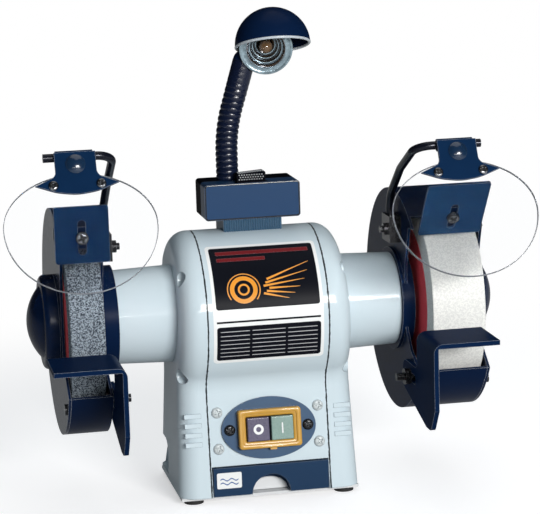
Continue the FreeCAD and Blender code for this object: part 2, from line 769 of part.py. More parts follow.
# Bearings, spindle and rotor
ring_mid = (sizes.bearing_outer + sizes.bearing_bore) / 2
RING_GAP = 2.2
BALL_COUNT = 9
outer_rings = []
inner_rings = []
for side_name, side in SIDES:
    limits = span(side, sizes.bearing_start, sizes.bearing_start + sizes.bearing_width)
    full = rod(f"outer_ring_{side_name}", "X", sizes.bearing_outer, limits, on_axis)
    race = rod(f"outer_race_{side_name}", "X", ring_mid + RING_GAP, limits, on_axis)
    outer_rings.append(cut(f"outer_ring_final_{side_name}", full, race))
    full = rod(f"inner_ring_{side_name}", "X", ring_mid - RING_GAP, limits, on_axis)
    race = rod(f"inner_bore_{side_name}", "X", sizes.bearing_bore, limits, on_axis)
    balls = []
    for number in range(BALL_COUNT):
        turn = 2 * math.pi * number / BALL_COUNT
        balls.append(ball(f"ball_{side_name}{number}", RING_GAP - sizes.running_gap,
                          (side * (sizes.bearing_start + sizes.bearing_width / 2),
                           ring_mid * math.sin(turn), axis_z + ring_mid * math.cos(turn))))
    inner_rings.append(cut(f"inner_ring_final_{side_name}", full, race))
    inner_rings.extend(balls)
node(group("outer_ring_group", *outer_rings), "bearing_outer_rings")
node(group("inner_ring_group", *inner_rings), "bearing_inner_rings")


def side_size(side_name, alias):
    """A driving dimension that the two sides hold separately."""
    return getattr(sizes, f"{side_name}_{alias}")


def guard_inner(side_name):
    """Distance of one guard's back plate from the middle of the machine."""
    return tube_end + side_size(side_name, "guard_step")


def wheel_stack(side_name):
    """Distances along the spindle of one wheel's inner flange, faces and nut."""
    inner_face = guard_inner(side_name) + sizes.guard_sheet + side_size(side_name, "wheel_gap")
    outer_face = inner_face + side_size(side_name, "wheel_width")
    flange_start = inner_face - sizes.blotter_thickness - sizes.flange_thickness
    nut_start = outer_face + sizes.blotter_thickness + sizes.flange_thickness
    return flange_start, inner_face, outer_face, nut_start


ROTOR_SEAT = 12.0
ROTOR_SEAT_HALF = 30.0
left_shoulder, _, _, left_nut = wheel_stack("left")
right_shoulder, _, _, right_nut = wheel_stack("right")
left_tip = left_nut + sizes.nut_height + sizes.spindle_overhang
right_tip = right_nut + sizes.nut_height + sizes.spindle_overhang
bearing_end = sizes.bearing_start + sizes.bearing_width
node(turned("spindle_body", "X", [
    (-left_tip, 0.0), (right_tip, 0.0), (right_tip, sizes.spindle_end_radius),
    (right_shoulder, sizes.spindle_end_radius), (right_shoulder, sizes.shaft_radius),
    (bearing_end, sizes.shaft_radius), (bearing_end, sizes.bearing_bore),
    (sizes.bearing_start, sizes.bearing_bore), (sizes.bearing_start, sizes.shaft_radius),
    (ROTOR_SEAT_HALF, sizes.shaft_radius), (ROTOR_SEAT_HALF, ROTOR_SEAT),
    (-ROTOR_SEAT_HALF, ROTOR_SEAT), (-ROTOR_SEAT_HALF, sizes.shaft_radius),
    (-sizes.bearing_start, sizes.shaft_radius), (-sizes.bearing_start, sizes.bearing_bore),
    (-bearing_end, sizes.bearing_bore), (-bearing_end, sizes.shaft_radius),
    (-left_shoulder, sizes.shaft_radius), (-left_shoulder, sizes.spindle_end_radius),
    (-left_tip, sizes.spindle_end_radius)], (0.0, 0.0, axis_z)), "spindle")
rotor = rod("rotor_stack", "X", sizes.rotor_radius, (-sizes.stator_half, sizes.stator_half), on_axis)
rotor_bore = rod("rotor_bore", "X", ROTOR_SEAT, (-sizes.stator_half - 1, sizes.stator_half + 1), on_axis)
node(cut("rotor_final", rotor, rotor_bore), "rotor")

# Wheels with paper blotters, steel flanges and nuts
FLANGE_RELIEF = 18.0
FLANGE_RELIEF_DEPTH = 1.5
wheel_bore = sizes.spindle_end_radius + sizes.running_gap
blotters = []
flanges = []
nuts = []
for side_name, side in SIDES:
    flange_start, inner_face, outer_face, nut_start = wheel_stack(side_name)
    stone = rod(f"{side_name}_stone", "X", sizes.wheel_radius, span(side, inner_face, outer_face), on_axis)
    stone = rounded(f"{side_name}_stone_edge", stone, 1.0, lambda middle, edge: True)
    hole = rod(f"{side_name}_stone_bore", "X", wheel_bore, span(side, inner_face - 1, outer_face + 1),
               on_axis)
    node(cut(f"{side_name}_wheel_final", stone, hole), f"{side_name}_wheel")
    paper = sizes.blotter_thickness
    for face, near in (("inner", inner_face - paper), ("outer", outer_face)):
        disc = rod(f"{side_name}_{face}_paper", "X", sizes.blotter_radius, span(side, near, near + paper),
                   on_axis)
        hole = rod(f"{side_name}_{face}_paper_hole", "X", wheel_bore, span(side, near - 1, near + 1 + paper),
                   on_axis)
        blotters.append(cut(f"{side_name}_{face}_blotter", disc, hole))
    outer_flange = nut_start - sizes.flange_thickness
    inner_relief = flange_start + sizes.flange_thickness - FLANGE_RELIEF_DEPTH
    for face, near, relief in (("inner", flange_start, inner_relief),
                               ("outer", outer_flange, outer_flange - 1)):
        disc = rod(f"{side_name}_{face}_disc", "X", sizes.flange_radius,
                   span(side, near, near + sizes.flange_thickness), on_axis)
        dish = rod(f"{side_name}_{face}_dish", "X", FLANGE_RELIEF,
                   span(side, relief, relief + FLANGE_RELIEF_DEPTH + 1), on_axis)
        hole = rod(f"{side_name}_{face}_disc_hole", "X", wheel_bore,
                   span(side, near - 1, near + sizes.flange_thickness + 1), on_axis)
        flanges.append(cut(f"{side_name}_{face}_flange", disc, dish, hole))
    hexagon = doc.addObject("Part::Prism", f"{side_name}_nut_blank")
    hexagon.Polygon = 6
    bind(hexagon, "Circumradius", sizes.nut_across / math.sqrt(3))
    bind(hexagon, "Height", sizes.nut_height)
    put(hexagon, (span(side, nut_start, nut_start + sizes.nut_height)[0], 0.0, axis_z), None, TURN_TO["X"])
    hole = rod(f"{side_name}_nut_hole", "X", sizes.spindle_end_radius,
               span(side, nut_start - 1, nut_start + sizes.nut_height + 1), on_axis)
    nuts.append(cut(f"{side_name}_nut", hexagon, hole))
node(group("blotter_group", *blotters), "wheel_blotters")
node(group("flange_group", *flanges), "wheel_flanges")
node(group("nut_group", *nuts), "wheel_nuts")

# Guards: a pressed pan on the spindle tube and a screwed cover with a domed hub, open in front
low_turn = math.radians(float(sizes.guard_low_angle))
top_turn = math.radians(float(sizes.guard_top_angle))
far = sizes.guard_radius * 1.5
low_tip_y = -sizes.guard_radius * math.cos(low_turn)
low_tip_z = -sizes.guard_radius * math.sin(low_turn)
BAY_TOP = 61.0
BAY_SHOULDER = 30.0
BAY_SILL = -16.0
BAY_KNEE = -31.0
BAY_ROUND = 10.0


def bay_outline(edge):
    """Corners of the open front beyond an upright edge."""
    return [(-far, BAY_TOP + 6), (-edge - 12, BAY_TOP), (-edge, BAY_SHOULDER), (-edge, BAY_SILL),
            (-edge - 13, BAY_KNEE), (low_tip_y, low_tip_z), (-far, low_tip_z)]


bay_rounds = {2: BAY_ROUND, 3: BAY_ROUND}
mouth_corners = [(0.0, 0.0), (-far * math.cos(top_turn), far * math.sin(top_turn)), (-far, far * 0.5),
                 (-far * math.cos(low_turn), -far * math.sin(low_turn))]
COVER_SCREW_CIRCLE = 79.2
COVER_SCREW_ANGLES = (64.0, 180.0, 318.0)
COVER_LUG = 3.4
LUG_LENGTH = 8.0
COVER_SCREW_HEAD = 4.0
TAB_HALF = 12.0
cover_screws = []
for side_name, side in SIDES:
    _, inner_face, outer_face, _ = wheel_stack(side_name)
    spark_x = side * ((inner_face + outer_face) / 2 + side_size(side_name, "spark_shift"))
    outer = outer_face + side_size(side_name, "cover_gap")
    plate = guard_inner(side_name)
    inner_end = plate + sizes.guard_sheet
    disc = rod(f"{side_name}_guard_disc", "X", sizes.guard_radius, span(side, plate, inner_end), on_axis)
    bay = prism(f"{side_name}_guard_bay", span(side, plate - 5, outer + 20), bay_outline(sizes.pan_edge),
                bay_rounds, axis_z)
    rim = rod(f"{side_name}_guard_rim", "X", sizes.guard_radius, span(side, plate, outer), on_axis)
    rim_hollow = rod(f"{side_name}_guard_rim_hollow", "X", sizes.guard_radius - sizes.guard_sheet,
                     span(side, plate - 1, outer + 1), on_axis)
    mouth = prism(f"{side_name}_guard_mouth", span(side, plate - 5, outer + 20), mouth_corners, None, axis_z)
    rim_band = cut(f"{side_name}_guard_band", rim, rim_hollow, mouth)
    collar_end = inner_end + side_size(side_name, "collar_reach")
    collar = rod(f"{side_name}_guard_collar", "X", sizes.collar_radius, span(side, tube_end, collar_end),
                 on_axis)
    lean = float(side_size(side_name, "spark_lean"))
    spark_frame = Placement(
        Vector(float(spark_x), float(side_size(side_name, "spark_y")),
               float(axis_z + side_size(side_name, "spark_z"))),
        Rotation(Vector(1, 0, 0), lean))
    edge_y = -float(sizes.guard_radius - sizes.guard_sheet / 2) * math.cos(top_turn)
    edge_z = float(axis_z) + float(sizes.guard_radius - sizes.guard_sheet / 2) * math.sin(top_turn)
    edge_in_frame = spark_frame.inverse().multVec(Vector(float(spark_x), edge_y, edge_z))
    web_low = edge_in_frame.z - float(sizes.guard_sheet)
    web = block(f"{side_name}_spark_web", (-TAB_HALF, TAB_HALF), (0.5, edge_in_frame.y + 0.5),
                (web_low, edge_in_frame.z), spark_frame)
    tab = block(f"{side_name}_spark_tab", (-TAB_HALF, TAB_HALF), (0.0, sizes.guard_sheet),
                (min(web_low, float(sizes.spark_screw_up) - 8), float(sizes.spark_screw_up) + 8), spark_frame)
    screw_places_here = []
    for angle in COVER_SCREW_ANGLES:
        turn = math.radians(angle)
        screw_places_here.append((-COVER_SCREW_CIRCLE * math.cos(turn),
                                  axis_z + COVER_SCREW_CIRCLE * math.sin(turn)))
    lug_limits = span(side, outer - LUG_LENGTH, outer)
    lugs = [rod(f"{side_name}_guard_lug{number}", "X", COVER_LUG, lug_limits, place)
            for number, place in enumerate(screw_places_here)]
    lug_holes = [rod(f"{side_name}_guard_lug_hole{number}", "X", SCREW_SHANK,
                     span(side, outer - LUG_LENGTH - 1, outer + 1), place)
                 for number, place in enumerate(screw_places_here)]
    pressed = cut(f"{side_name}_guard_pressed",
                  join(f"{side_name}_guard_blank", disc, rim_band), bay)
    pan = join(f"{side_name}_guard_pan", pressed, collar, tab, web, *lugs)
    shaft_way = rod(f"{side_name}_guard_bore", "X", sizes.collar_bore,
                    span(side, tube_end - 1, collar_end + 1), on_axis)
    flange_room = rod(f"{side_name}_guard_dish", "X", sizes.collar_radius - sizes.guard_sheet,
                      span(side, tube_end + sizes.guard_sheet, collar_end + 1), on_axis)
    bolt_place = (sizes.rest_bolt_y, axis_z + sizes.rest_arm_z)
    bolt_hole = rod(f"{side_name}_guard_rest_hole", "X", sizes.rest_bolt_radius,
                    span(side, plate - 1, inner_end + 1), bolt_place)
    screw_hole = rod(f"{side_name}_spark_screw_hole", "Y", sizes.screw_radius, (-1.0, sizes.guard_sheet + 1),
                     (0.0, sizes.spark_screw_up), spark_frame)
    node(cut(f"{side_name}_guard_final", pan, shaft_way, flange_room, bolt_hole, screw_hole, *lug_holes),
         f"{side_name}_guard")

    cover_end = outer + sizes.guard_sheet
    face = rod(f"{side_name}_cover_face", "X", sizes.guard_radius, span(side, outer, cover_end), on_axis)
    cover_bay = prism(f"{side_name}_cover_bay", span(side, outer - 1, cover_end + 1),
                      bay_outline(sizes.bay_edge), bay_rounds, axis_z)
    face = cut(f"{side_name}_cover_plate", face, cover_bay)
    boss_end = cover_end + sizes.boss_height
    boss = turned(f"{side_name}_cover_boss", "X", [
        (side * outer, sizes.boss_radius - sizes.guard_sheet), (side * outer, sizes.boss_radius),
        (side * boss_end, sizes.boss_radius), (side * boss_end, sizes.dome_radius - sizes.guard_sheet * 2),
        (side * (boss_end - sizes.guard_sheet), sizes.dome_radius - sizes.guard_sheet * 2),
        (side * (boss_end - sizes.guard_sheet), sizes.boss_radius - sizes.guard_sheet)],
        (0.0, 0.0, axis_z), rounds={2: 4.0})
    face_hole = rod(f"{side_name}_cover_face_hole", "X", sizes.boss_radius - sizes.guard_sheet,
                    span(side, outer - 1, cover_end + 1), on_axis)
    dome_chord = sizes.dome_radius * sizes.dome_radius / sizes.dome_height
    dome_ball = (dome_chord + sizes.dome_height) / 2
    dome_centre = side * (boss_end + sizes.dome_height - dome_ball)
    dome = ball(f"{side_name}_dome_ball", dome_ball, (dome_centre, 0.0, axis_z))
    dome_inside = ball(f"{side_name}_dome_inside", dome_ball - sizes.guard_sheet, (dome_centre, 0.0, axis_z))
    dome_zone = rod(f"{side_name}_dome_zone", "X", sizes.dome_radius,
                    span(side, boss_end - 0.5, boss_end + sizes.dome_height + 1), on_axis)
    cap = overlap(f"{side_name}_dome_cap", cut(f"{side_name}_dome_skin", dome, dome_inside), dome_zone)
    body = join(f"{side_name}_cover_body", cut(f"{side_name}_cover_holed", face, face_hole), boss, cap)
    cover_holes = []
    for number, place in enumerate(screw_places_here):
        cover_holes.append(rod(f"{side_name}_cover_hole{number}", "X", SCREW_SHANK,
                               span(side, outer - 1, cover_end + 1), place))
        head = rod(f"{side_name}_cover_screw_head{number}", "X", COVER_SCREW_HEAD,
                   span(side, cover_end, cover_end + 2), place)
        stem = rod(f"{side_name}_cover_screw_stem{number}", "X", SCREW_SHANK,
                   span(side, outer - LUG_LENGTH + 1, cover_end), place)
        cover_screws.append(join(f"{side_name}_cover_screw{number}", head, stem))
    node(cut(f"{side_name}_cover_final", body, *cover_holes), f"{side_name}_guard_cover")

    # Spark arrester: a slotted plate clamped to the guard's front tab by one screw
    width = side_size(side_name, "spark_width")
    length = side_size(side_name, "spark_length")
    blade = front_plate(f"{side_name}_spark_blade", (-sizes.spark_sheet, 0.0), [
        (-width / 2, 0.0), (width / 2, 0.0), (width / 2, length), (-width / 2, length)],
        {0: 2.0, 1: 2.0, 2: 2.0, 3: 2.0}, spark_frame)
    slot_half = sizes.screw_radius + sizes.slot_clearance
    slot = block(f"{side_name}_spark_slot", (-slot_half, slot_half), (-sizes.spark_sheet - 1, 1.0),
                 (sizes.spark_slot_low + slot_half, sizes.spark_slot_high - slot_half), spark_frame)
    slot_heights = (("low", sizes.spark_slot_low + slot_half), ("high", sizes.spark_slot_high - slot_half))
    slot_ends = [rod(f"{side_name}_spark_slot_{end}", "Y", slot_half, (-sizes.spark_sheet - 1, 1.0),
                     (0.0, height), spark_frame) for end, height in slot_heights]
    node(cut(f"{side_name}_spark_final", blade, slot, *slot_ends), f"{side_name}_spark_plate")
    head = rod(f"{side_name}_spark_screw_head", "Y", sizes.screw_radius + 2,
               (-sizes.spark_sheet - 2.5, -sizes.spark_sheet), (0.0, sizes.spark_screw_up), spark_frame)
    stem = rod(f"{side_name}_spark_screw_stem", "Y", sizes.screw_radius,
               (-sizes.spark_sheet, sizes.guard_sheet + 2), (0.0, sizes.spark_screw_up), spark_frame)
    cover_screws.append(join(f"{side_name}_spark_screw", head, stem))

    # Tool rest: an L of bent plate whose cheek slides on the rest bolt beside the guard
    rest_width = side_size(side_name, "rest_width")
    cheek_outer = plate - sizes.rest_sheet
    rest_front = sizes.rest_back - sizes.rest_depth
    top = block(f"{side_name}_rest_top", span(side, cheek_outer, cheek_outer + rest_width),
                (rest_front, sizes.rest_back),
                (axis_z + sizes.rest_top - sizes.rest_sheet, axis_z + sizes.rest_top))
    arm_low = sizes.rest_arm_z - 11
    arm_high = sizes.rest_arm_z + 10
    heel = arm_low - sizes.rest_heel
    cheek = prism(f"{side_name}_rest_cheek", span(side, cheek_outer, plate), [
        (sizes.rest_back, sizes.rest_top), (rest_front, sizes.rest_top), (rest_front, arm_low),
        (rest_front + 12, heel), (rest_front + 24, heel),
        (sizes.rest_bolt_y + 20, arm_low), (sizes.rest_bolt_y + 20, arm_high),
        (sizes.rest_back, arm_high)], {3: 6.0, 4: 6.0, 5: 5.0, 6: 8.0, 7: 6.0}, axis_z)
    bend_round = rounded(f"{side_name}_rest_bend", join(f"{side_name}_rest_ell", top, cheek), sizes.rest_bend,
                         lambda middle, edge: edge.Length > 40
                         and abs(abs(middle.x) - float(cheek_outer)) < 0.01
                         and abs(middle.z - float(axis_z + sizes.rest_top)) < 0.01)
    bolt_slot_half = sizes.rest_bolt_radius + sizes.slot_clearance
    slot = block(f"{side_name}_rest_slot", span(side, cheek_outer - 1, plate + 1),
                 (sizes.rest_bolt_y - sizes.rest_slot_half, sizes.rest_bolt_y + sizes.rest_slot_half),
                 (bolt_place[1] - bolt_slot_half, bolt_place[1] + bolt_slot_half))
    slot_ends = [rod(f"{side_name}_rest_slot_{end}", "X", bolt_slot_half,
                     span(side, cheek_outer - 1, plate + 1),
                     (sizes.rest_bolt_y + shift, bolt_place[1]))
                 for end, shift in (("front", -sizes.rest_slot_half), ("back", sizes.rest_slot_half))]
    node(cut(f"{side_name}_rest_final", bend_round, slot, *slot_ends), f"{side_name}_tool_rest")
    bolt_head = rod(f"{side_name}_rest_bolt_head", "X", sizes.rest_bolt_head,
                    span(side, inner_end, inner_end + 2), bolt_place)
    bolt_stem = rod(f"{side_name}_rest_bolt_stem", "X", sizes.rest_bolt_radius,
                    span(side, cheek_outer - sizes.rest_bolt_reach, inner_end), bolt_place)
    bolt_nut = rod(f"{side_name}_rest_bolt_nut", "X", sizes.rest_bolt_nut,
                   span(side, cheek_outer - 4.5, cheek_outer), bolt_place)
    cover_screws.append(join(f"{side_name}_rest_bolt", bolt_head, bolt_stem, bolt_nut))
node(group("guard_fixings", *cover_screws), "guard_screws")


# Eye shields: a bent rod turning in a clamp on the guard, with a bracket and a clear oval lens
def bent_rod(points, radii, radius):
    """Round bar along straight runs joined by tangent arcs of the given radii."""
    edges = []
    start = points[0]
    for before, corner, after, bend in zip(points, points[1:], points[2:], radii):
        into = (corner - before).normalize()
        away = (after - corner).normalize()
        half_turn = into.getAngle(away) / 2
        trim = bend * math.tan(half_turn)
        bisector = (away - into).normalize()
        centre = corner + bisector * (bend / math.cos(half_turn))
        middle = centre - bisector * bend
        edges.append(Part.LineSegment(start, corner - into * trim).toShape())
        edges.append(Part.Arc(corner - into * trim, middle, corner + away * trim).toShape())
        start = corner + away * trim
    edges.append(Part.LineSegment(start, points[-1]).toShape())
    path = Part.Wire(edges)
    section = Part.Wire(Part.Circle(points[0], points[1] - points[0], radius).toShape())
    return path.makePipeShell([section], True, False)


ROD_BENDS = (24.0, 26.0, 12.0)
ROD_STRAIGHT = 34.0
CLAMP_NUT = 4.5
CLAMP_NUT_HEIGHT = 3.5
LENS_SCREW_HEAD = 3.6
LENS_SCREW_NUT = 3.4
SHIELD_SCREWS = tuple((end * sizes.lens_screw_x, -sizes.lens_screw_drop) for end in (-1, 1))
clamp_blocks = []
clamp_bolts = []
for side_name, side in SIDES:
    rod_top = axis_z + side_size(side_name, "rod_top")
    _, inner_face, outer_face, _ = wheel_stack(side_name)
    plate = guard_inner(side_name)
    shield_x = (inner_face + outer_face) / 2 + side_size(side_name, "shield_shift")
    rod_end = side * (shield_x + side_size(side_name, "rod_tail"))
    rod_x = side * (plate - sizes.clamp_size / 2)
    low = axis_z + sizes.rod_bottom
    knee_y = sizes.rod_y - sizes.rod_knee_reach
    knee_z = low + sizes.rod_knee_rise
    points = [Vector(*map(float, point)) for point in (
        (rod_x, sizes.rod_y, low), (rod_x, sizes.rod_y, low + ROD_STRAIGHT), (rod_x, knee_y, knee_z),
        (rod_x, sizes.rod_reach_y, rod_top), (rod_end, sizes.rod_reach_y, rod_top))]
    bar = doc.addObject("Part::Feature", f"{side_name}_rod_bar")
    bar.Shape = bent_rod(points, ROD_BENDS, float(sizes.rod_radius))
    node(bar, f"{side_name}_shield_rod")

    clamp_low = low + 1
    clamp_high = clamp_low + sizes.clamp_height
    clamp_face = plate - sizes.clamp_size
    clamp = block(f"{side_name}_clamp_block", span(side, clamp_face, plate),
                  (sizes.rod_y - sizes.clamp_front, sizes.rod_y + sizes.clamp_rear), (clamp_low, clamp_high))
    clamp_bore = rod(f"{side_name}_clamp_bore", "Z", sizes.rod_radius + sizes.running_gap,
                     (clamp_low - 1, clamp_high + 1), (rod_x, sizes.rod_y))
    bolt_place = (sizes.rod_y - sizes.clamp_bolt_front, (clamp_low + clamp_high) / 2)
    clamp_hole = rod(f"{side_name}_clamp_hole", "X", sizes.screw_radius,
                     span(side, clamp_face - 1, plate + 1), bolt_place)
    clamp_blocks.append(cut(f"{side_name}_clamp", clamp, clamp_bore, clamp_hole))
    bolt_nut = rod(f"{side_name}_clamp_nut", "X", CLAMP_NUT,
                   span(side, clamp_face - CLAMP_NUT_HEIGHT, clamp_face), bolt_place)
    bolt_stem = rod(f"{side_name}_clamp_stem", "X", sizes.screw_radius,
                    span(side, clamp_face - CLAMP_NUT_HEIGHT - 2.5, plate), bolt_place)
    clamp_bolts.append(join(f"{side_name}_clamp_bolt", bolt_nut, bolt_stem))

    shield_frame = Placement(
        Vector(side * float(shield_x), float(sizes.rod_reach_y), float(rod_top)),
        Rotation(Vector(1, 0, 0), -float(sizes.shield_lean)))
    plate_back = -sizes.rod_radius - 1.5
    plate_front = plate_back - sizes.bracket_sheet
    half = sizes.bracket_half
    tip = sizes.bracket_tip
    flag = front_plate(f"{side_name}_bracket_flag", (plate_front, plate_back), [
        (-half, sizes.bracket_top), (half, sizes.bracket_top), (half, -sizes.bracket_shoulder),
        (tip, -sizes.bracket_tip_drop), (half, -sizes.bracket_low), (0.0, -sizes.bracket_bottom),
        (-half, -sizes.bracket_low), (-tip, -sizes.bracket_tip_drop), (-half, -sizes.bracket_shoulder)],
        {2: sizes.bracket_waist_round, 4: sizes.bracket_low_round, 5: sizes.bracket_low_round,
         6: sizes.bracket_low_round, 8: sizes.bracket_waist_round}, shield_frame)
    sleeve_limits = (-sizes.sleeve_half, sizes.sleeve_half)
    sleeve = rod(f"{side_name}_bracket_sleeve", "X", sizes.rod_radius + sizes.sleeve_wall, sleeve_limits,
                 (0.0, 0.0), shield_frame)
    bridge = block(f"{side_name}_bracket_bridge", sleeve_limits, (plate_back, 0.0),
                   (-sizes.rod_radius - sizes.sleeve_wall, sizes.bracket_top), shield_frame)
    strap_bore = rod(f"{side_name}_bracket_bore", "X", sizes.rod_radius + sizes.running_gap, (-half, half),
                     (0.0, 0.0), shield_frame)
    screw_holes = [rod(f"{side_name}_bracket_hole{number}", "Y", SCREW_SHANK,
                       (plate_front - 1, plate_back + 1), place, shield_frame)
                   for number, place in enumerate(SHIELD_SCREWS)]
    bracket = join(f"{side_name}_bracket_body", flag, sleeve, bridge)
    node(cut(f"{side_name}_bracket_final", bracket, strap_bore, *screw_holes), f"{side_name}_shield_bracket")

    lens_back = plate_back + sizes.lens_thickness
    lens_halves = []
    for part, half_height, way in (("low", sizes.lens_low_half, -1), ("high", sizes.lens_high_half, 1)):
        disc = oval_disc(f"{side_name}_lens_{part}", sizes.lens_half_width, half_height, sizes.lens_thickness,
                         (0.0, plate_back, -sizes.lens_drop), shield_frame)
        reach_z = -sizes.lens_drop + way * (half_height + 1)
        limits = (reach_z, -sizes.lens_drop) if way < 0 else (-sizes.lens_drop, reach_z)
        zone = block(f"{side_name}_lens_{part}_zone", (-sizes.lens_half_width - 1, sizes.lens_half_width + 1),
                     (plate_back - 1, lens_back + 1), limits, shield_frame)
        lens_halves.append(overlap(f"{side_name}_lens_{part}_half", disc, zone))
    lens_holes = [rod(f"{side_name}_lens_hole{number}", "Y", SCREW_SHANK, (plate_back - 1, lens_back + 1),
                      place, shield_frame) for number, place in enumerate(SHIELD_SCREWS)]
    node(cut(f"{side_name}_lens_final", join(f"{side_name}_lens_body", *lens_halves), *lens_holes),
         f"{side_name}_shield_lens")

    fasteners = []
    dome_head = rod(f"{side_name}_dome_head", "Y", sizes.dome_bolt_radius,
                    (plate_front - sizes.dome_bolt_height, plate_front), (0.0, -sizes.dome_bolt_drop),
                    shield_frame)
    fasteners.append(rounded(f"{side_name}_dome_bolt", dome_head, sizes.dome_bolt_height - 0.4,
                             lambda middle, edge, frame=shield_frame, front=float(plate_front):
                             frame.inverse().multVec(middle).y < front - 1))
    for number, place in enumerate(SHIELD_SCREWS):
        head = rod(f"{side_name}_lens_screw_head{number}", "Y", LENS_SCREW_HEAD,
                   (plate_front - 2, plate_front), place, shield_frame)
        stem = rod(f"{side_name}_lens_screw_stem{number}", "Y", SCREW_SHANK, (plate_front, lens_back), place,
                   shield_frame)
        tail = rod(f"{side_name}_lens_screw_nut{number}", "Y", LENS_SCREW_NUT, (lens_back, lens_back + 2),
                   place, shield_frame)
        fasteners.append(join(f"{side_name}_lens_screw{number}", head, stem, tail))
    node(group(f"{side_name}_shield_fasteners", *fasteners), f"{side_name}_shield_screws")
node(group("clamp_group", *clamp_blocks), "rod_clamps")
node(group("clamp_bolt_group", *clamp_bolts), "clamp_bolts")

# Water tray with its front, finger notch and hollow
front_y = -sizes.stand_half_depth
tray_low = sizes.base_bottom + 0.5
tray_back = front_y + sizes.tray_depth
tray_half = sizes.tray_front_half - 1.5
tray_front = front_plate("tray_face", (front_y, front_y + sizes.tray_front_wall), [
    (-sizes.tray_front_half, tray_low), (sizes.tray_front_half, tray_low),
    (sizes.tray_front_half, sizes.tray_front_top), (-sizes.tray_front_half, sizes.tray_front_top)])
tray_body = block("tray_body", (-tray_half, tray_half), (front_y + 1, tray_back),
                  (tray_low, tray_low + sizes.tray_height))
tray_hollow = block("tray_hollow", (-tray_half + sizes.tray_wall, tray_half - sizes.tray_wall),
                    (front_y + sizes.tray_front_wall, tray_back - sizes.tray_wall),
                    (tray_low + sizes.tray_wall, sizes.tray_front_top + 1))
notch_wall = rod("notch_wall", "Y", sizes.notch_radius + sizes.tray_wall,
                 (front_y + 1, front_y + sizes.notch_depth + sizes.tray_wall), (0.0, tray_low))
notch_zone = block("notch_zone", (-tray_half, tray_half), (front_y, tray_back),
                   (tray_low, sizes.tray_front_top))
notch_room = rod("notch_room", "Y", sizes.notch_radius, (front_y - 1, front_y + sizes.notch_depth),
                 (0.0, tray_low))
tray_shell = cut("tray_shell", join("tray_block", tray_front, tray_body), tray_hollow)
tray_arch = overlap("tray_arch", notch_wall, notch_zone)
node(cut("tray_final", join("tray_joined", tray_shell, tray_arch), notch_room), "water_tray")

# Switch: an oval plate on the leaning front, a bright frame, and stop and start buttons
switch_plate_high = (panel_top - panel_low) / 2 - sizes.switch_plate_margin
oval_plate = oval_disc("switch_oval", sizes.switch_plate_half, switch_plate_high, sizes.switch_plate_sheet,
                       (0.0, -sizes.switch_plate_sheet, 0.0), panel_frame)
switch_sheet = sizes.switch_plate_sheet
body_room = block("switch_body_room", (-switch_body_half, switch_body_half), (-switch_sheet - 1, 1.0),
                  (-switch_body_high, switch_body_high), panel_frame)
oval_holes = [rod(f"oval_hole{number}", "Y", SCREW_SHANK, (-switch_sheet - 1, 1.0), place, panel_frame)
              for number, place in enumerate(PLATE_SCREWS)]
node(cut("switch_plate_final", oval_plate, body_room, *oval_holes), "switch_plate")


def pan_screws(name, places, head_radius, seat, head_height):
    """Pan-head screws standing on the leaning front; each head starts at its seat."""
    screws = []
    for number, place in enumerate(places):
        head = rod(f"{name}_head{number}", "Y", head_radius, (seat - head_height, seat), place, panel_frame)
        stem = rod(f"{name}_stem{number}", "Y", SCREW_SHANK, (seat, 5.0), place, panel_frame)
        domed = rounded(f"{name}_domed{number}", head, head_height * 0.7,
                        lambda middle, edge, front=float(seat) - head_height:
                        panel_frame.inverse().multVec(middle).y < front + 0.1)
        screws.append(join(f"{name}_{number}", domed, stem))
    return group(name, *screws)


PAN_HEAD = 4.2
node(pan_screws("plate_screw_group", PLATE_SCREWS, PAN_HEAD, -switch_sheet, 2.2), "switch_plate_screws")
node(pan_screws("panel_screw_group", PANEL_SCREWS, PAN_HEAD, 0.0, 2.0), "panel_screws")
frame_front = -switch_sheet - sizes.frame_depth
frame_outer = front_plate("switch_frame_outer", (frame_front, -switch_sheet), [
    (-sizes.frame_half_width, -sizes.frame_half_height), (sizes.frame_half_width, -sizes.frame_half_height),
    (sizes.frame_half_width, sizes.frame_half_height), (-sizes.frame_half_width, sizes.frame_half_height)],
    {0: 1.5, 1: 1.5, 2: 1.5, 3: 1.5}, panel_frame)
STOP_X = -9.2
START_X = 8.8
window_half = sizes.button_width / 2 + sizes.button_gap
window_high = sizes.button_height / 2 + sizes.button_gap
BUTTONS = (("stop", STOP_X), ("start", START_X))
windows = [block(f"switch_window_{word}", (middle - window_half, middle + window_half),
                 (frame_front - 1, 0.0), (-window_high, window_high), panel_frame)
           for word, middle in BUTTONS]
node(cut("switch_frame_final", frame_outer, *windows), "switch_frame")
BODY_BACK = 18.0
button_back = frame_front + 5.0
block_front = button_back + sizes.button_travel + 1
block_case = block("switch_case", (-switch_body_half + 0.5, switch_body_half - 0.5),
                   (-switch_sheet, BODY_BACK), (-switch_body_high + 0.5, switch_body_high - 0.5), panel_frame)
wells = [block(f"switch_well_{word}", (middle - window_half, middle + window_half),
               (-switch_sheet - 1, block_front), (-window_high, window_high), panel_frame)
         for word, middle in BUTTONS]
node(cut("switch_case_final", block_case, *wells), "switch_block")
for word, middle in BUTTONS:
    half = sizes.button_width / 2
    high = sizes.button_height / 2
    key = block(f"{word}_key", (middle - half, middle + half),
                (frame_front - sizes.button_proud, button_back), (-high, high), panel_frame)
    node(rounded(f"{word}_key_edge", key, 0.8,
                 lambda spot, edge, front=float(frame_front - sizes.button_proud):
                 panel_frame.inverse().multVec(spot).y < front + 0.1), f"{word}_button")

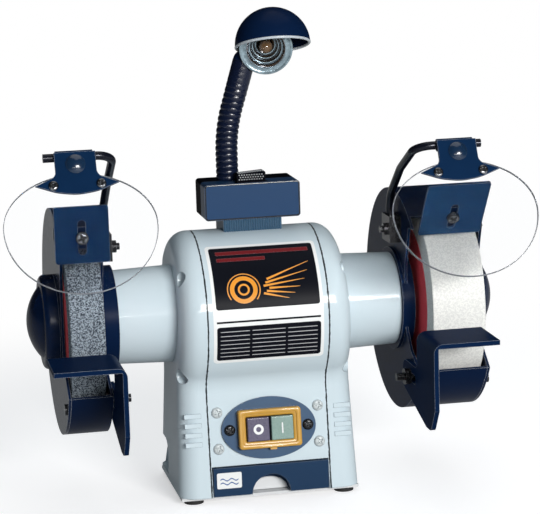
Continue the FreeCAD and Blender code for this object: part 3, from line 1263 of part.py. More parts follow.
# Cable gland on the back of the stand
GLAND_FLANGE = 9.0
GLAND_NOSE = 6.5
gland_face = stand_face(as_size(GLAND_Z))
gland_flange = rod("gland_flange", "Y", GLAND_FLANGE, (gland_face - 2, gland_face + 3), (GLAND_X, GLAND_Z))
gland_nose = rod("gland_nose", "Y", GLAND_NOSE, (gland_face, gland_face + 11), (GLAND_X, GLAND_Z))
gland_bore = rod("gland_bore", "Y", GLAND_BORE, (gland_face - 5, gland_face + 12), (GLAND_X, GLAND_Z))
gland_trim = cut("gland_trim", join("gland_body", gland_flange, gland_nose), gland_bore, shouldered)
node(gland_trim, "cable_gland")

# Lamp: a pedestal on the barrel, a two-part box, a rocker switch, a ribbed neck and a hooded lamp
box_bottom = axis_z + sizes.motor_radius + sizes.pedestal_height
box_top = box_bottom + sizes.box_height
pedestal_block = block("pedestal_block", (-sizes.pedestal_half, sizes.pedestal_half),
                       (sizes.box_front + 3, sizes.box_back - 4), (axis_z + 40, box_bottom))
saddle = rod("pedestal_saddle", "X", sizes.motor_radius, (-sizes.pedestal_half - 1, sizes.pedestal_half + 1),
             on_axis)
node(cut("pedestal_final", pedestal_block, saddle), "lamp_pedestal")


def box_half(name, y_range, open_range):
    """One half of the lamp box: rounded outside, hollow towards its partner."""
    half = sizes.box_half_width
    case = front_plate(f"{name}_case", y_range, [
        (-half, box_bottom), (half, box_bottom), (half, box_top), (-half, box_top)],
        {index: sizes.box_round for index in range(4)})
    wall = sizes.box_wall
    hollow = block(f"{name}_hollow", (-half + wall, half - wall), open_range,
                   (box_bottom + wall, box_top - wall))
    return cut(f"{name}_shell", case, hollow)


BOX_SEAM = 0.3
split = sizes.box_split
front_shell = box_half("box_front_half", (sizes.box_front, split - BOX_SEAM),
                       (sizes.box_front + sizes.box_wall, split + 1))
rear_shell = box_half("box_rear_half", (split, sizes.box_back), (split - 1, sizes.box_back - sizes.box_wall))
rocker_front = sizes.box_front + sizes.rocker_inset
rocker_back = rocker_front + sizes.rocker_depth
rocker_limits = (sizes.rocker_x - sizes.rocker_width / 2, sizes.rocker_x + sizes.rocker_width / 2)
ROCKER_GAP = 0.8
rocker_room = block("rocker_room", (rocker_limits[0] - ROCKER_GAP - 1, rocker_limits[1] + ROCKER_GAP + 1),
                    (rocker_front - ROCKER_GAP, rocker_back + ROCKER_GAP), (box_top - 6, box_top + 10))
neck_room = rod("neck_room", "Z", sizes.neck_bore, (box_top - 5, box_top + 5),
                (sizes.neck_x, sizes.neck_y))
rocker_pivot = box_top - sizes.box_wall / 2
TRUNNION_RADIUS = 0.9
TRUNNION_REACH = 1.6
trunnion_hole = rod("trunnion_hole", "Y", TRUNNION_RADIUS + sizes.running_gap,
                    (rocker_front - TRUNNION_REACH - 0.5, rocker_back + TRUNNION_REACH + 0.5),
                    (sizes.rocker_x, rocker_pivot))
node(cut("box_front_final", front_shell, rocker_room, trunnion_hole), "lamp_box_front")
node(cut("box_rear_final", rear_shell, rocker_room, trunnion_hole, neck_room), "lamp_box_rear")
rocker_top = box_top + sizes.rocker_height
rocker_key = front_plate("rocker_key", (rocker_front, rocker_back), [
    (rocker_limits[0] + 1, rocker_pivot - 3), (rocker_limits[1] - 1, rocker_pivot - 3),
    (rocker_limits[1], rocker_top), (rocker_limits[0], rocker_top - 1.5)], {2: 1.5, 3: 1.5})
trunnion = rod("trunnion", "Y", TRUNNION_RADIUS,
               (rocker_front - TRUNNION_REACH, rocker_back + TRUNNION_REACH), (sizes.rocker_x, rocker_pivot))
node(join("rocker_final", rocker_key, trunnion), "lamp_rocker")


def neck_place(run):
    """Point and direction of the neck's middle line at a distance along it."""
    straight = float(sizes.neck_straight)
    bend = float(sizes.neck_arc_radius)
    turn = math.radians(float(sizes.neck_turn))
    start = Vector(float(sizes.neck_x), float(sizes.neck_y), float(box_top))
    if run <= straight:
        return start + Vector(0, 0, run), Vector(0, 0, 1)
    angle = min((run - straight) / bend, turn)
    point = start + Vector(bend * (1 - math.cos(angle)), 0, straight + bend * math.sin(angle))
    heading = Vector(math.sin(angle), 0, math.cos(angle))
    beyond = run - straight - bend * angle
    return point + heading * max(beyond, 0.0), heading


def neck_ring(run, radius):
    """Circle round the neck's middle line, with its own X axis held along Y."""
    point, heading = neck_place(run)
    steady = Vector(0, 1, 0)
    ring = Part.Wire(Part.Circle(Vector(), Vector(0, 0, 1), radius).toShape())
    ring.Placement = Placement(point, Rotation(steady, heading.cross(steady), heading, "ZXY"))
    return ring


def neck_segment(start, end, ball_at, socket_at):
    """Ribbed hose between two runs: four circles for each rib, a bore, and ball or socket ends."""
    pitch = float(sizes.neck_pitch)
    outer = float(sizes.neck_radius)
    inner = outer - float(sizes.neck_groove)
    count = max(1, round((end - start) / pitch))
    step = (end - start) / count
    rings = []
    bores = []
    for number in range(count):
        near = start + number * step
        for share, radius in ((0.02, inner), (0.25, outer), (0.72, outer), (0.98, inner)):
            rings.append(neck_ring(near + share * step, radius))
        bores.append(neck_ring(near, float(sizes.neck_bore)))
    rings[0] = neck_ring(start, inner)
    rings[-1] = neck_ring(end, inner)
    bores.append(neck_ring(end, float(sizes.neck_bore)))
    hose = Part.makeLoft(rings, True, True)
    if ball_at is not None:
        hose = hose.fuse(Part.makeSphere(float(sizes.neck_ball), neck_place(ball_at)[0]))
        bores.append(neck_ring(end + float(sizes.neck_ball) * 2, float(sizes.neck_bore)))
    if socket_at is not None:
        socket = float(sizes.neck_ball + sizes.running_gap)
        hose = hose.cut(Part.makeSphere(socket, neck_place(socket_at)[0]))
    return hose.cut(Part.makeLoft(bores, True, True)).removeSplitter()


neck_arc = float(sizes.neck_arc_radius) * math.radians(float(sizes.neck_turn))
neck_length = float(sizes.neck_straight + sizes.neck_end_straight) + neck_arc
half_gap = float(sizes.neck_gap) / 2
pivots = [neck_length / 3, neck_length * 2 / 3]
limits = [0.0] + pivots + [neck_length]
neck_names = ("neck_base", "neck_middle", "neck_upper")
for number, name in enumerate(neck_names):
    start = limits[number] + (half_gap if number > 0 else 0.0)
    end = limits[number + 1] - (half_gap if number < 2 else 0.0)
    segment = doc.addObject("Part::Feature", f"{name}_hose")
    segment.Shape = neck_segment(start, end, pivots[number] if number < 2 else None,
                                 pivots[number - 1] if number > 0 else None)
    node(segment, name)

# Lamp head: a lamp bowl on the neck's end, with reflector and bulb, under a half-round hood
hood_centre = (sizes.hood_x, sizes.hood_y, box_top + sizes.hood_rise)
hood_frame = Placement(Vector(*map(float, hood_centre)), Rotation(Vector(1, 0, 0), -float(sizes.hood_tilt)))
facing = Rotation(Vector(0, 0, 1), -float(sizes.lamp_turn)).multiply(
    Rotation(Vector(1, 0, 0), 90 + float(sizes.lamp_dip)))
bowl_centre = (hood_centre[0] - sizes.bowl_aside, hood_centre[1] - sizes.bowl_forward,
               hood_centre[2] - sizes.bowl_drop)
lamp_frame = Placement(Vector(*map(float, bowl_centre)), facing)
STEM_RADIUS = 3.0


def half_ball(name, radius, low, high, frame):
    """Part of a sphere between two latitudes, about a frame's Z axis."""
    globe = doc.addObject("Part::Sphere", name)
    bind(globe, "Radius", radius)
    globe.Angle1 = low
    globe.Angle2 = high
    return put(globe, (0.0, 0.0, 0.0), frame)


hood_skin = cut("hood_skin", half_ball("hood_out", sizes.hood_radius, 0, 90, hood_frame),
                half_ball("hood_in", sizes.hood_radius - sizes.hood_wall, -90, 90, hood_frame))
stem_at = hood_frame.inverse().multVec(lamp_frame.Base)
stem_room = math.sqrt(float(sizes.hood_radius) ** 2 - stem_at.x ** 2 - stem_at.y ** 2)
stem_low = stem_at.z + float(sizes.bowl_radius - sizes.bowl_wall)
hood_stem = rod("hood_stem", "Z", STEM_RADIUS, (stem_low, stem_room - 1), (stem_at.x, stem_at.y), hood_frame)
node(join("hood_final", hood_skin, hood_stem), "lamp_hood")

bowl_out = half_ball("bowl_out", sizes.bowl_radius, -90, 0, lamp_frame)
bowl_in = half_ball("bowl_in", sizes.bowl_radius - sizes.bowl_wall, -90, 90, lamp_frame)
stem_hole = rod("stem_hole", "Z", STEM_RADIUS + sizes.running_gap, (stem_at.z, stem_room),
                (stem_at.x, stem_at.y), hood_frame)
neck_end, neck_heading = neck_place(neck_length)
collar_length = float(sizes.collar_length)
collar_bar = Part.makeCylinder(float(sizes.neck_radius), collar_length, neck_end, neck_heading)
collar_knob = Part.makeSphere(float(sizes.neck_radius), neck_end + neck_heading * collar_length)
collar_piece = doc.addObject("Part::Feature", "bowl_collar")
collar_piece.Shape = collar_bar.fuse(collar_knob)
node(cut("bowl_final", join("bowl_body", bowl_out, collar_piece), bowl_in, stem_hole), "lamp_bowl")

RING_THICKNESS = 1.5
dish_mouth = sizes.reflector_mouth
node(turned("reflector_dish", "Z", [
    (sizes.bulb_radius, -sizes.reflector_depth), (sizes.bulb_radius + 1.2, -sizes.reflector_depth),
    (dish_mouth + 1.4, 0.0), (sizes.bowl_radius, 0.0), (sizes.bowl_radius, RING_THICKNESS),
    (dish_mouth, RING_THICKNESS)], (0.0, 0.0, 0.0), lamp_frame), "lamp_reflector")
CAP_RADIUS = 4.6
bulb_globe = doc.addObject("Part::Sphere", "bulb_globe")
bind(bulb_globe, "Radius", sizes.bulb_radius)
put(bulb_globe, (0.0, 0.0, -sizes.reflector_depth + 8), lamp_frame)
bulb_cap = rod("bulb_cap", "Z", CAP_RADIUS, (-sizes.reflector_depth - 5, -sizes.reflector_depth + 6),
               (0.0, 0.0), lamp_frame)
node(join("bulb_final", bulb_globe, bulb_cap), "lamp_bulb")

doc.recompute()

# Test every object and every piece, then write one file for each piece
for thing in doc.Objects:
    if "Invalid" in thing.State or "Error" in thing.State:
        raise RuntimeError(f"{thing.Name} failed: {thing.State}")
os.makedirs("parts", exist_ok=True)
for piece in nodes:
    if piece.Shape.isNull() or not piece.Shape.isValid():
        raise RuntimeError(f"{piece.Label} has no valid shape")
    piece.Shape.exportStep(f"parts/{piece.Label}.step")
print(len(nodes), "pieces written")
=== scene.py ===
import math

import bmesh
import bpy
import numpy as np
from mathutils import Matrix, Vector


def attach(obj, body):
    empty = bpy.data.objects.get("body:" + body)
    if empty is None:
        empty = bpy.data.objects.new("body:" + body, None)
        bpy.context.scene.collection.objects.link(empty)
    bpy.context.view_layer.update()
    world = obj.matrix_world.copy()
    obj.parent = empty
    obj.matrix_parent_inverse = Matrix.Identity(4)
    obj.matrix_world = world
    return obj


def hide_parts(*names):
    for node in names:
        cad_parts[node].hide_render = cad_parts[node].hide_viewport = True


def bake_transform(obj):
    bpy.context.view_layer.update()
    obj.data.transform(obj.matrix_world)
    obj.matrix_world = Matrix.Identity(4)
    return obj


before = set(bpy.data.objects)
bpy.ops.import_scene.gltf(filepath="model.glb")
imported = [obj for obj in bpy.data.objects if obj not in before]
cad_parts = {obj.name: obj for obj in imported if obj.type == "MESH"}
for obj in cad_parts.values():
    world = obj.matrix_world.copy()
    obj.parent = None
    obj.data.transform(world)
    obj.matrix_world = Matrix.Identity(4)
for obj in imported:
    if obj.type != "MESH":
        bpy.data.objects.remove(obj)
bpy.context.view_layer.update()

# The bench top and the light: a white sheet under a broad window in front, a little to the right,
# seen from the operator's left and from just above the wheels.
mm = 0.001
photo_width = 540
focal_pixels = 2259.8
look_turn, look_drop, look_roll = (math.radians(angle) for angle in (11.25, 10.50, -1.74))
ahead = Vector((math.sin(look_turn) * math.cos(look_drop), math.cos(look_turn) * math.cos(look_drop),
                -math.sin(look_drop)))
level_right = Vector((math.cos(look_turn), -math.sin(look_turn), 0))
level_up = level_right.cross(ahead)
right = level_right * math.cos(look_roll) + level_up * math.sin(look_roll)
up = level_up * math.cos(look_roll) - level_right * math.sin(look_roll)
camera_data = bpy.data.cameras.new("bench_camera")
camera_data.sensor_fit = "HORIZONTAL"
camera_data.sensor_width = 36
camera_data.lens = focal_pixels / photo_width * camera_data.sensor_width
camera_data.clip_end = 30
camera = bpy.data.objects.new("bench_camera", camera_data)
camera.matrix_world = Matrix((right, up, -ahead)).transposed().to_4x4()
camera.location = Vector((-0.31134, -1.63642, 0.48225))
bpy.context.collection.objects.link(camera)
bpy.context.scene.camera = camera
bpy.context.scene.view_settings.view_transform = "Standard"


def soft_lamp(name, place, aim, width, height, power):
    """Oblong, faintly warm area lamp at a place, turned towards an aim point."""
    lamp = bpy.data.lights.new(name, "AREA")
    lamp.shape = "RECTANGLE"
    lamp.size = width
    lamp.size_y = height
    lamp.energy = power
    lamp.color = (1.0, 0.98, 0.95)
    holder = bpy.data.objects.new(name, lamp)
    holder.location = place
    holder.rotation_euler = (Vector(aim) - Vector(place)).to_track_quat("-Z", "Y").to_euler()
    bpy.context.collection.objects.link(holder)
    return holder


soft_lamp("window_front", (0.60, -2.3, 0.80), (0, 0, 0.15), 0.9, 0.4, 50)
soft_lamp("window_bar", (0.35, -2.3, 0.60), (0, 0, 0.15), 2.8, 0.05, 12)
soft_lamp("ceiling", (0.3, 0.3, 2.3), (0, 0, 0.1), 1.8, 1.8, 9)
back_wall = soft_lamp("back_wall", (0.8, 2.2, 0.9), (0, 0, 0.15), 2.4, 1.2, 16)
back_wall.visible_glossy = False


def background(tree, strength, tint=(1.0, 1.0, 1.0)):
    """Background shader of a given strength and tint."""
    glow = tree.nodes.new("ShaderNodeBackground")
    glow.inputs["Color"].default_value = (*tint, 1)
    glow.inputs["Strength"].default_value = strength
    return glow.outputs[0]


def mixed(tree, factor, first, second):
    """Mix of two shaders by a factor."""
    blend = tree.nodes.new("ShaderNodeMixShader")
    tree.links.new(factor, blend.inputs["Fac"])
    tree.links.new(first, blend.inputs[1])
    tree.links.new(second, blend.inputs[2])
    return blend.outputs[0]


def seen_rays(tree):
    """1 for rays that the camera sees directly or through a clear plate, else 0; also gives the ray node."""
    rays = tree.nodes.new("ShaderNodeLightPath")
    either = tree.nodes.new("ShaderNodeMath")
    either.operation = "MAXIMUM"
    tree.links.new(rays.outputs["Is Camera Ray"], either.inputs[0])
    tree.links.new(rays.outputs["Is Transmission Ray"], either.inputs[1])
    return either.outputs[0], rays


sky = bpy.data.worlds.new("pale_room")
bpy.context.scene.world = sky
sky.use_nodes = True
sky_tree = sky.node_tree
sky_seen, sky_rays = seen_rays(sky_tree)
sky_light = mixed(sky_tree, sky_rays.outputs["Is Glossy Ray"], background(sky_tree, 0.16, (0.74, 0.90, 1.0)),
                  background(sky_tree, 0.02))
sky_all = mixed(sky_tree, sky_seen, sky_light, background(sky_tree, 1.0))
sky_tree.links.new(sky_all, sky_tree.nodes["World Output"].inputs["Surface"])

floor_mesh = bpy.data.meshes.new("bench_top")
floor_mesh.from_pydata([(-8, -8, 0), (8, -8, 0), (8, 8, 0), (-8, 8, 0)], [], [(0, 1, 2, 3)])
floor = bpy.data.objects.new("bench_top", floor_mesh)
bpy.context.collection.objects.link(floor)
floor_paint = bpy.data.materials.new("pale_bench")
floor_paint.use_nodes = True
floor_tree = floor_paint.node_tree
floor_skin = floor_tree.nodes["Principled BSDF"]
floor_skin.inputs["Base Color"].default_value = (0.50, 0.50, 0.50, 1)
floor_skin.inputs["Roughness"].default_value = 0.9
floor_skin.inputs["Specular IOR Level"].default_value = 0.1
floor_shown = floor_tree.nodes.new("ShaderNodeBsdfDiffuse")
floor_shown.inputs["Color"].default_value = (0.80, 0.80, 0.82, 1)
floor_glow = floor_tree.nodes.new("ShaderNodeEmission")
floor_glow.inputs["Strength"].default_value = 0.51
floor_sum = floor_tree.nodes.new("ShaderNodeAddShader")
floor_tree.links.new(floor_shown.outputs[0], floor_sum.inputs[0])
floor_tree.links.new(floor_glow.outputs[0], floor_sum.inputs[1])
floor_white = floor_tree.nodes.new("ShaderNodeEmission")
floor_place = floor_tree.nodes.new("ShaderNodeTexCoord")
floor_reach = floor_tree.nodes.new("ShaderNodeVectorMath")
floor_reach.operation = "LENGTH"
floor_tree.links.new(floor_place.outputs["Object"], floor_reach.inputs[0])
floor_fade = floor_tree.nodes.new("ShaderNodeMapRange")
floor_fade.interpolation_type = "SMOOTHSTEP"
floor_fade.inputs["From Min"].default_value = 0.25
floor_fade.inputs["From Max"].default_value = 0.70
floor_tree.links.new(floor_reach.outputs["Value"], floor_fade.inputs["Value"])
floor_bright = mixed(floor_tree, floor_fade.outputs["Result"], floor_sum.outputs[0], floor_white.outputs[0])
floor_seen, floor_rays = seen_rays(floor_tree)
floor_mirrored = floor_tree.nodes.new("ShaderNodeMath")
floor_mirrored.operation = "MULTIPLY_ADD"
floor_mirrored.inputs[1].default_value = 0.15
floor_tree.links.new(floor_rays.outputs["Is Glossy Ray"], floor_mirrored.inputs[0])
floor_tree.links.new(floor_seen, floor_mirrored.inputs[2])
floor_all = mixed(floor_tree, floor_mirrored.outputs[0], floor_skin.outputs[0], floor_bright)
floor_tree.links.new(floor_all, floor_tree.nodes["Material Output"].inputs["Surface"])
floor_mesh.materials.append(floor_paint)

# The motor housing: three pale blue-grey castings in satin enamel, a centre band and two end covers
# drawn together by screws.
FLOAT, COLOUR = "NodeSocketFloat", "NodeSocketColor"


def node_group(name, inputs, outputs):
    """Empty shader node group with float or colour sockets; gives the group and its two end nodes."""
    made = bpy.data.node_groups.new(name, "ShaderNodeTree")
    for socket, kind in inputs:
        made.interface.new_socket(socket, in_out="INPUT", socket_type=kind)
    for socket, kind in outputs:
        made.interface.new_socket(socket, in_out="OUTPUT", socket_type=kind)
    return made, made.nodes.new("NodeGroupInput"), made.nodes.new("NodeGroupOutput")


def calculate(tree, operation, first, second):
    """Math node on two values, each a socket or a number."""
    step = tree.nodes.new("ShaderNodeMath")
    step.operation = operation
    for slot, value in zip(step.inputs, (first, second)):
        if isinstance(value, (int, float)):
            slot.default_value = value
        else:
            tree.links.new(value, slot)
    return step.outputs[0]


def colour_mix(tree, factor, first, second):
    """Mix of two colours, each a socket or a plain colour, by a factor socket."""
    blend = tree.nodes.new("ShaderNodeMix")
    blend.data_type = "RGBA"
    tree.links.new(factor, blend.inputs["Factor"])
    for socket, value in (("A", first), ("B", second)):
        if isinstance(value, tuple):
            blend.inputs[socket].default_value = (*value, 1)
        else:
            tree.links.new(value, blend.inputs[socket])
    return blend.outputs["Result"]


def pattern(tree, kind, scale, **settings):
    """Noise or Voronoi texture on the object's own coordinates, in cells per metre; gives its node."""
    where = tree.nodes.new("ShaderNodeTexCoord")
    cloud = tree.nodes.new(kind)
    tree.links.new(where.outputs["Object"], cloud.inputs["Vector"])
    if isinstance(scale, (int, float)):
        cloud.inputs["Scale"].default_value = scale
    else:
        tree.links.new(scale, cloud.inputs["Scale"])
    for socket, value in settings.items():
        cloud.inputs[socket].default_value = value
    return cloud


# A coat's colour drifts a little in broad patches, takes a rim colour along its edges and gathers dust where it faces
# up; its gloss and height carry a fine grain. The rim colour is partly wear and partly painted light: pale rims on the
# dark coats are also painted edge highlights, and dark rims on the pale coats are painted shade along edges, steps and
# screw seats.
coat_group, coat_in, coat_out = node_group(
    "coat_grain",
    [("Colour", COLOUR), ("Drift", FLOAT), ("Patch Scale", FLOAT), ("Grain Scale", FLOAT), ("Roughness", FLOAT),
     ("Roughness Spread", FLOAT), ("Dust", FLOAT), ("Rim Scuff And Painted Light", FLOAT), ("Rim Scuff And Painted Light Colour", COLOUR)],
    [("Colour", COLOUR), ("Roughness", FLOAT), ("Height", FLOAT)])
patches = pattern(coat_group, "ShaderNodeTexNoise", coat_in.outputs["Patch Scale"], Detail=4.0).outputs["Fac"]
grain = pattern(coat_group, "ShaderNodeTexNoise", coat_in.outputs["Grain Scale"], Detail=2.0).outputs["Fac"]
drift = calculate(coat_group, "MULTIPLY", calculate(coat_group, "SUBTRACT", patches, 0.5), coat_in.outputs["Drift"])
tone = coat_group.nodes.new("ShaderNodeHueSaturation")
coat_group.links.new(coat_in.outputs["Colour"], tone.inputs["Color"])
coat_group.links.new(calculate(coat_group, "ADD", drift, 1.0), tone.inputs["Value"])
facing = coat_group.nodes.new("ShaderNodeNewGeometry")
facing_parts = coat_group.nodes.new("ShaderNodeSeparateXYZ")
coat_group.links.new(facing.outputs["Normal"], facing_parts.inputs[0])
upward = calculate(coat_group, "MAXIMUM", facing_parts.outputs["Z"], 0.0)
dust_here = calculate(coat_group, "MULTIPLY", calculate(coat_group, "MULTIPLY", upward, patches),
                      coat_in.outputs["Dust"])
softened = coat_group.nodes.new("ShaderNodeBevel")
softened.samples = 4
softened.inputs["Radius"].default_value = 0.7 * mm
turn_away = coat_group.nodes.new("ShaderNodeVectorMath")
turn_away.operation = "DOT_PRODUCT"
coat_group.links.new(softened.outputs["Normal"], turn_away.inputs[0])
coat_group.links.new(facing.outputs["Normal"], turn_away.inputs[1])
edge = calculate(coat_group, "SUBTRACT", 1.0, turn_away.outputs["Value"])
# Rim mark from the bevel: partly wear, partly painted light, as pale highlights on dark coats and dark shade on pale
# coats.
scuffed_and_painted_rims = calculate(coat_group, "MULTIPLY", calculate(coat_group, "MULTIPLY", edge, grain), coat_in.outputs["Rim Scuff And Painted Light"])
dusted = colour_mix(coat_group, dust_here, tone.outputs[0], (0.62, 0.60, 0.57))
coat_group.links.new(colour_mix(coat_group, scuffed_and_painted_rims, dusted, coat_in.outputs["Rim Scuff And Painted Light Colour"]), coat_out.inputs["Colour"])
spread = calculate(coat_group, "MULTIPLY", calculate(coat_group, "SUBTRACT", grain, 0.5),
                   coat_in.outputs["Roughness Spread"])
rough = calculate(coat_group, "ADD", calculate(coat_group, "ADD", coat_in.outputs["Roughness"], spread), dust_here)
coat_group.links.new(rough, coat_out.inputs["Roughness"])
coat_group.links.new(grain, coat_out.inputs["Height"])


# The default pale rim colour is wear and also a painted highlight along the edges of the dark coats.
def coated(name, colour, roughness=0.35, spread=0.12, drift=0.12, patch=14.0, grain=900.0, bump=0.02, dust=0.03,
           rim_scuff_and_painted_light=0.6, rim_scuff_and_painted_light_colour=(0.55, 0.60, 0.66), metallic=0.0, coat=0.0, specular=0.5):
    """Material with the shared coat grain: painted, moulded or plain metal by its settings."""
    made = bpy.data.materials.new(name)
    made.use_nodes = True
    tree = made.node_tree
    skin = tree.nodes["Principled BSDF"]
    layer = tree.nodes.new("ShaderNodeGroup")
    layer.node_tree = coat_group
    for socket, value in (("Colour", (*colour, 1)), ("Drift", drift), ("Patch Scale", patch), ("Grain Scale", grain),
                          ("Roughness", roughness), ("Roughness Spread", spread), ("Dust", dust), ("Rim Scuff And Painted Light", rim_scuff_and_painted_light),
                          ("Rim Scuff And Painted Light Colour", (*rim_scuff_and_painted_light_colour, 1))):
        layer.inputs[socket].default_value = value
    relief = tree.nodes.new("ShaderNodeBump")
    relief.inputs["Distance"].default_value = bump * mm
    tree.links.new(layer.outputs["Height"], relief.inputs["Height"])
    tree.links.new(layer.outputs["Colour"], skin.inputs["Base Color"])
    tree.links.new(layer.outputs["Roughness"], skin.inputs["Roughness"])
    tree.links.new(relief.outputs["Normal"], skin.inputs["Normal"])
    skin.inputs["Metallic"].default_value = metallic
    skin.inputs["Specular IOR Level"].default_value = specular
    skin.inputs["Coat Weight"].default_value = coat
    skin.inputs["Coat Roughness"].default_value = 0.06
    return made


def dress(material, *names):
    """Give CAD pieces a finish."""
    for name in names:
        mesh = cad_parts[name].data
        mesh.materials.clear()
        mesh.materials.append(material)


# Its dark rim colour is painted shade along the castings' edges, steps, ribs and seams.
pale_enamel = coated("pale_enamel", (0.545, 0.645, 0.705), roughness=0.36, drift=0.05, patch=9, grain=1400, bump=0.012,
                     dust=0.01, rim_scuff_and_painted_light=3.0, rim_scuff_and_painted_light_colour=(0.08, 0.11, 0.14), coat=0.25, specular=0.1)
dress(pale_enamel, "motor_housing", "left_end_cover", "right_end_cover")

# The joints between the castings: narrow gaps where dark grime gathers, in an uneven line.
joint_place, joint_reach = 45.0, 1.15
joint_group, joint_in, joint_out = node_group("joint_grime", [("Colour", COLOUR)], [("Colour", COLOUR)])
joint_spot = joint_group.nodes.new("ShaderNodeTexCoord")
joint_axes = joint_group.nodes.new("ShaderNodeSeparateXYZ")
joint_group.links.new(joint_spot.outputs["Object"], joint_axes.inputs[0])
joint_across = calculate(joint_group, "ABSOLUTE", joint_axes.outputs["X"], 0)
joint_off = calculate(joint_group, "ABSOLUTE", calculate(joint_group, "SUBTRACT", joint_across, joint_place * mm), 0)
joint_width = calculate(joint_group, "MULTIPLY", pattern(joint_group, "ShaderNodeTexNoise", 350).outputs[0],
                        joint_reach * mm)
joint_near = calculate(joint_group, "LESS_THAN", joint_off, joint_width)
joint_group.links.new(colour_mix(joint_group, joint_near, joint_in.outputs["Colour"], (0.035, 0.045, 0.055)),
                      joint_out.inputs["Colour"])
enamel_tree = pale_enamel.node_tree
enamel_colour = enamel_tree.nodes["Principled BSDF"].inputs["Base Color"]
joint_layer = enamel_tree.nodes.new("ShaderNodeGroup")
joint_layer.node_tree = joint_group
enamel_tree.links.new(enamel_colour.links[0].from_socket, joint_layer.inputs["Colour"])
enamel_tree.links.new(joint_layer.outputs["Colour"], enamel_colour)

# The face sheet on the barrel: a white-edged film in a plain generic print, with a wheel throwing sparks
# over two bars, a bare white band and an empty ruled table.
axle_height = 135.5
barrel_radius = 61.0


def on_barrel(plan, lift):
    """Points on the barrel from (across, climb) in mm: climb is the arc upwards from its front, lift the height."""
    turn = plan[..., 1] / barrel_radius
    reach = barrel_radius + lift
    return np.stack((plan[..., 0], -reach * np.cos(turn), axle_height + reach * np.sin(turn)), axis=-1)


def panel_plan(across, climb, corner=0.0):
    """Plan of a rectangle with quarter-round corners, its rows crowded towards both ends."""
    share = (1 - np.cos(np.linspace(0, np.pi, 41))) / 2
    rows = climb[0] + (climb[1] - climb[0]) * share
    from_end = np.minimum(np.minimum(rows - climb[0], climb[1] - rows), corner)
    inset = corner - np.sqrt(np.clip(corner ** 2 - (corner - from_end) ** 2, 0, None))
    steps = np.linspace(0, 1, 13)
    spread_across = (across[0] + inset)[:, None] * (1 - steps) + (across[1] - inset)[:, None] * steps
    return np.stack((spread_across, np.broadcast_to(rows[:, None], spread_across.shape)), axis=-1)


def ring_plan(centre, radii, span=(0.0, 360.0)):
    """Plan of a flat ring or part of one: rows step out in radius, columns go round by angle."""
    reach = np.linspace(radii[0], radii[1], 4)[:, None]
    turn = np.radians(np.linspace(span[0], span[1], 65))[None, :]
    return np.stack((centre[0] + reach * np.cos(turn), centre[1] + reach * np.sin(turn)), axis=-1)


def ray_plan(centre, radii, angle, widths):
    """Plan of a tapering ray that leaves a centre at an angle."""
    turn = math.radians(angle)
    reach = np.linspace(0, 1, 15)[:, None]
    along = radii[0] + (radii[1] - radii[0]) * reach
    aside = (widths[0] + (widths[1] - widths[0]) * reach) * np.linspace(-0.5, 0.5, 3)[None, :]
    return np.stack((centre[0] + along * math.cos(turn) - aside * math.sin(turn),
                     centre[1] + along * math.sin(turn) + aside * math.cos(turn)), axis=-1)


def slab(top, under, ring=False):
    """Closed grid round a sheet: over its top and back underneath, with open side edges folded shut."""
    around = np.concatenate((top, under[::-1]))
    fold = (around + around[::-1]) / 2
    if not ring:
        around = np.concatenate((fold[:, :1], around, fold[:, -1:]), axis=1)
    return np.concatenate((around, around[:1]))


def grid_mesh(name, *grids, crease=35.0):
    """Mesh of quads over grids of points in mm, joined where points meet, facing out, smooth up to a crease angle."""
    corners, quads, count = [], [], 0
    for grid in grids:
        index = np.arange(grid.shape[0] * grid.shape[1]).reshape(grid.shape[:2]) + count
        quads.append(np.stack((index[:-1, :-1], index[:-1, 1:], index[1:, 1:], index[1:, :-1]), axis=-1).reshape(-1, 4))
        corners.append(grid.reshape(-1, 3))
        count += index.size
    mesh = bpy.data.meshes.new(name)
    mesh.from_pydata((np.concatenate(corners) * mm).tolist(), [], np.concatenate(quads).tolist())
    form = bmesh.new()
    form.from_mesh(mesh)
    bmesh.ops.remove_doubles(form, verts=form.verts, dist=0.002 * mm)
    bmesh.ops.dissolve_degenerate(form, edges=form.edges, dist=0.001 * mm)
    bmesh.ops.recalc_face_normals(form, faces=form.faces)
    form.to_mesh(mesh)
    form.free()
    mesh.shade_smooth()
    mesh.set_sharp_from_angle(angle=math.radians(crease))
    return mesh


def piece(mesh, material, body=None):
    """Object at the origin that shows a mesh in a material; rides on a body if one is named."""
    mesh.materials.append(material)
    shown = bpy.data.objects.new(mesh.name, mesh)
    bpy.context.collection.objects.link(shown)
    if body:
        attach(shown, body)
    return shown


def layer_on(mapping, low, high, plans, ring=False):
    """Thin closed layers over plans, between two heights on a mapped surface."""
    return [slab(mapping(plan, high), mapping(plan, low), ring) for plan in plans]


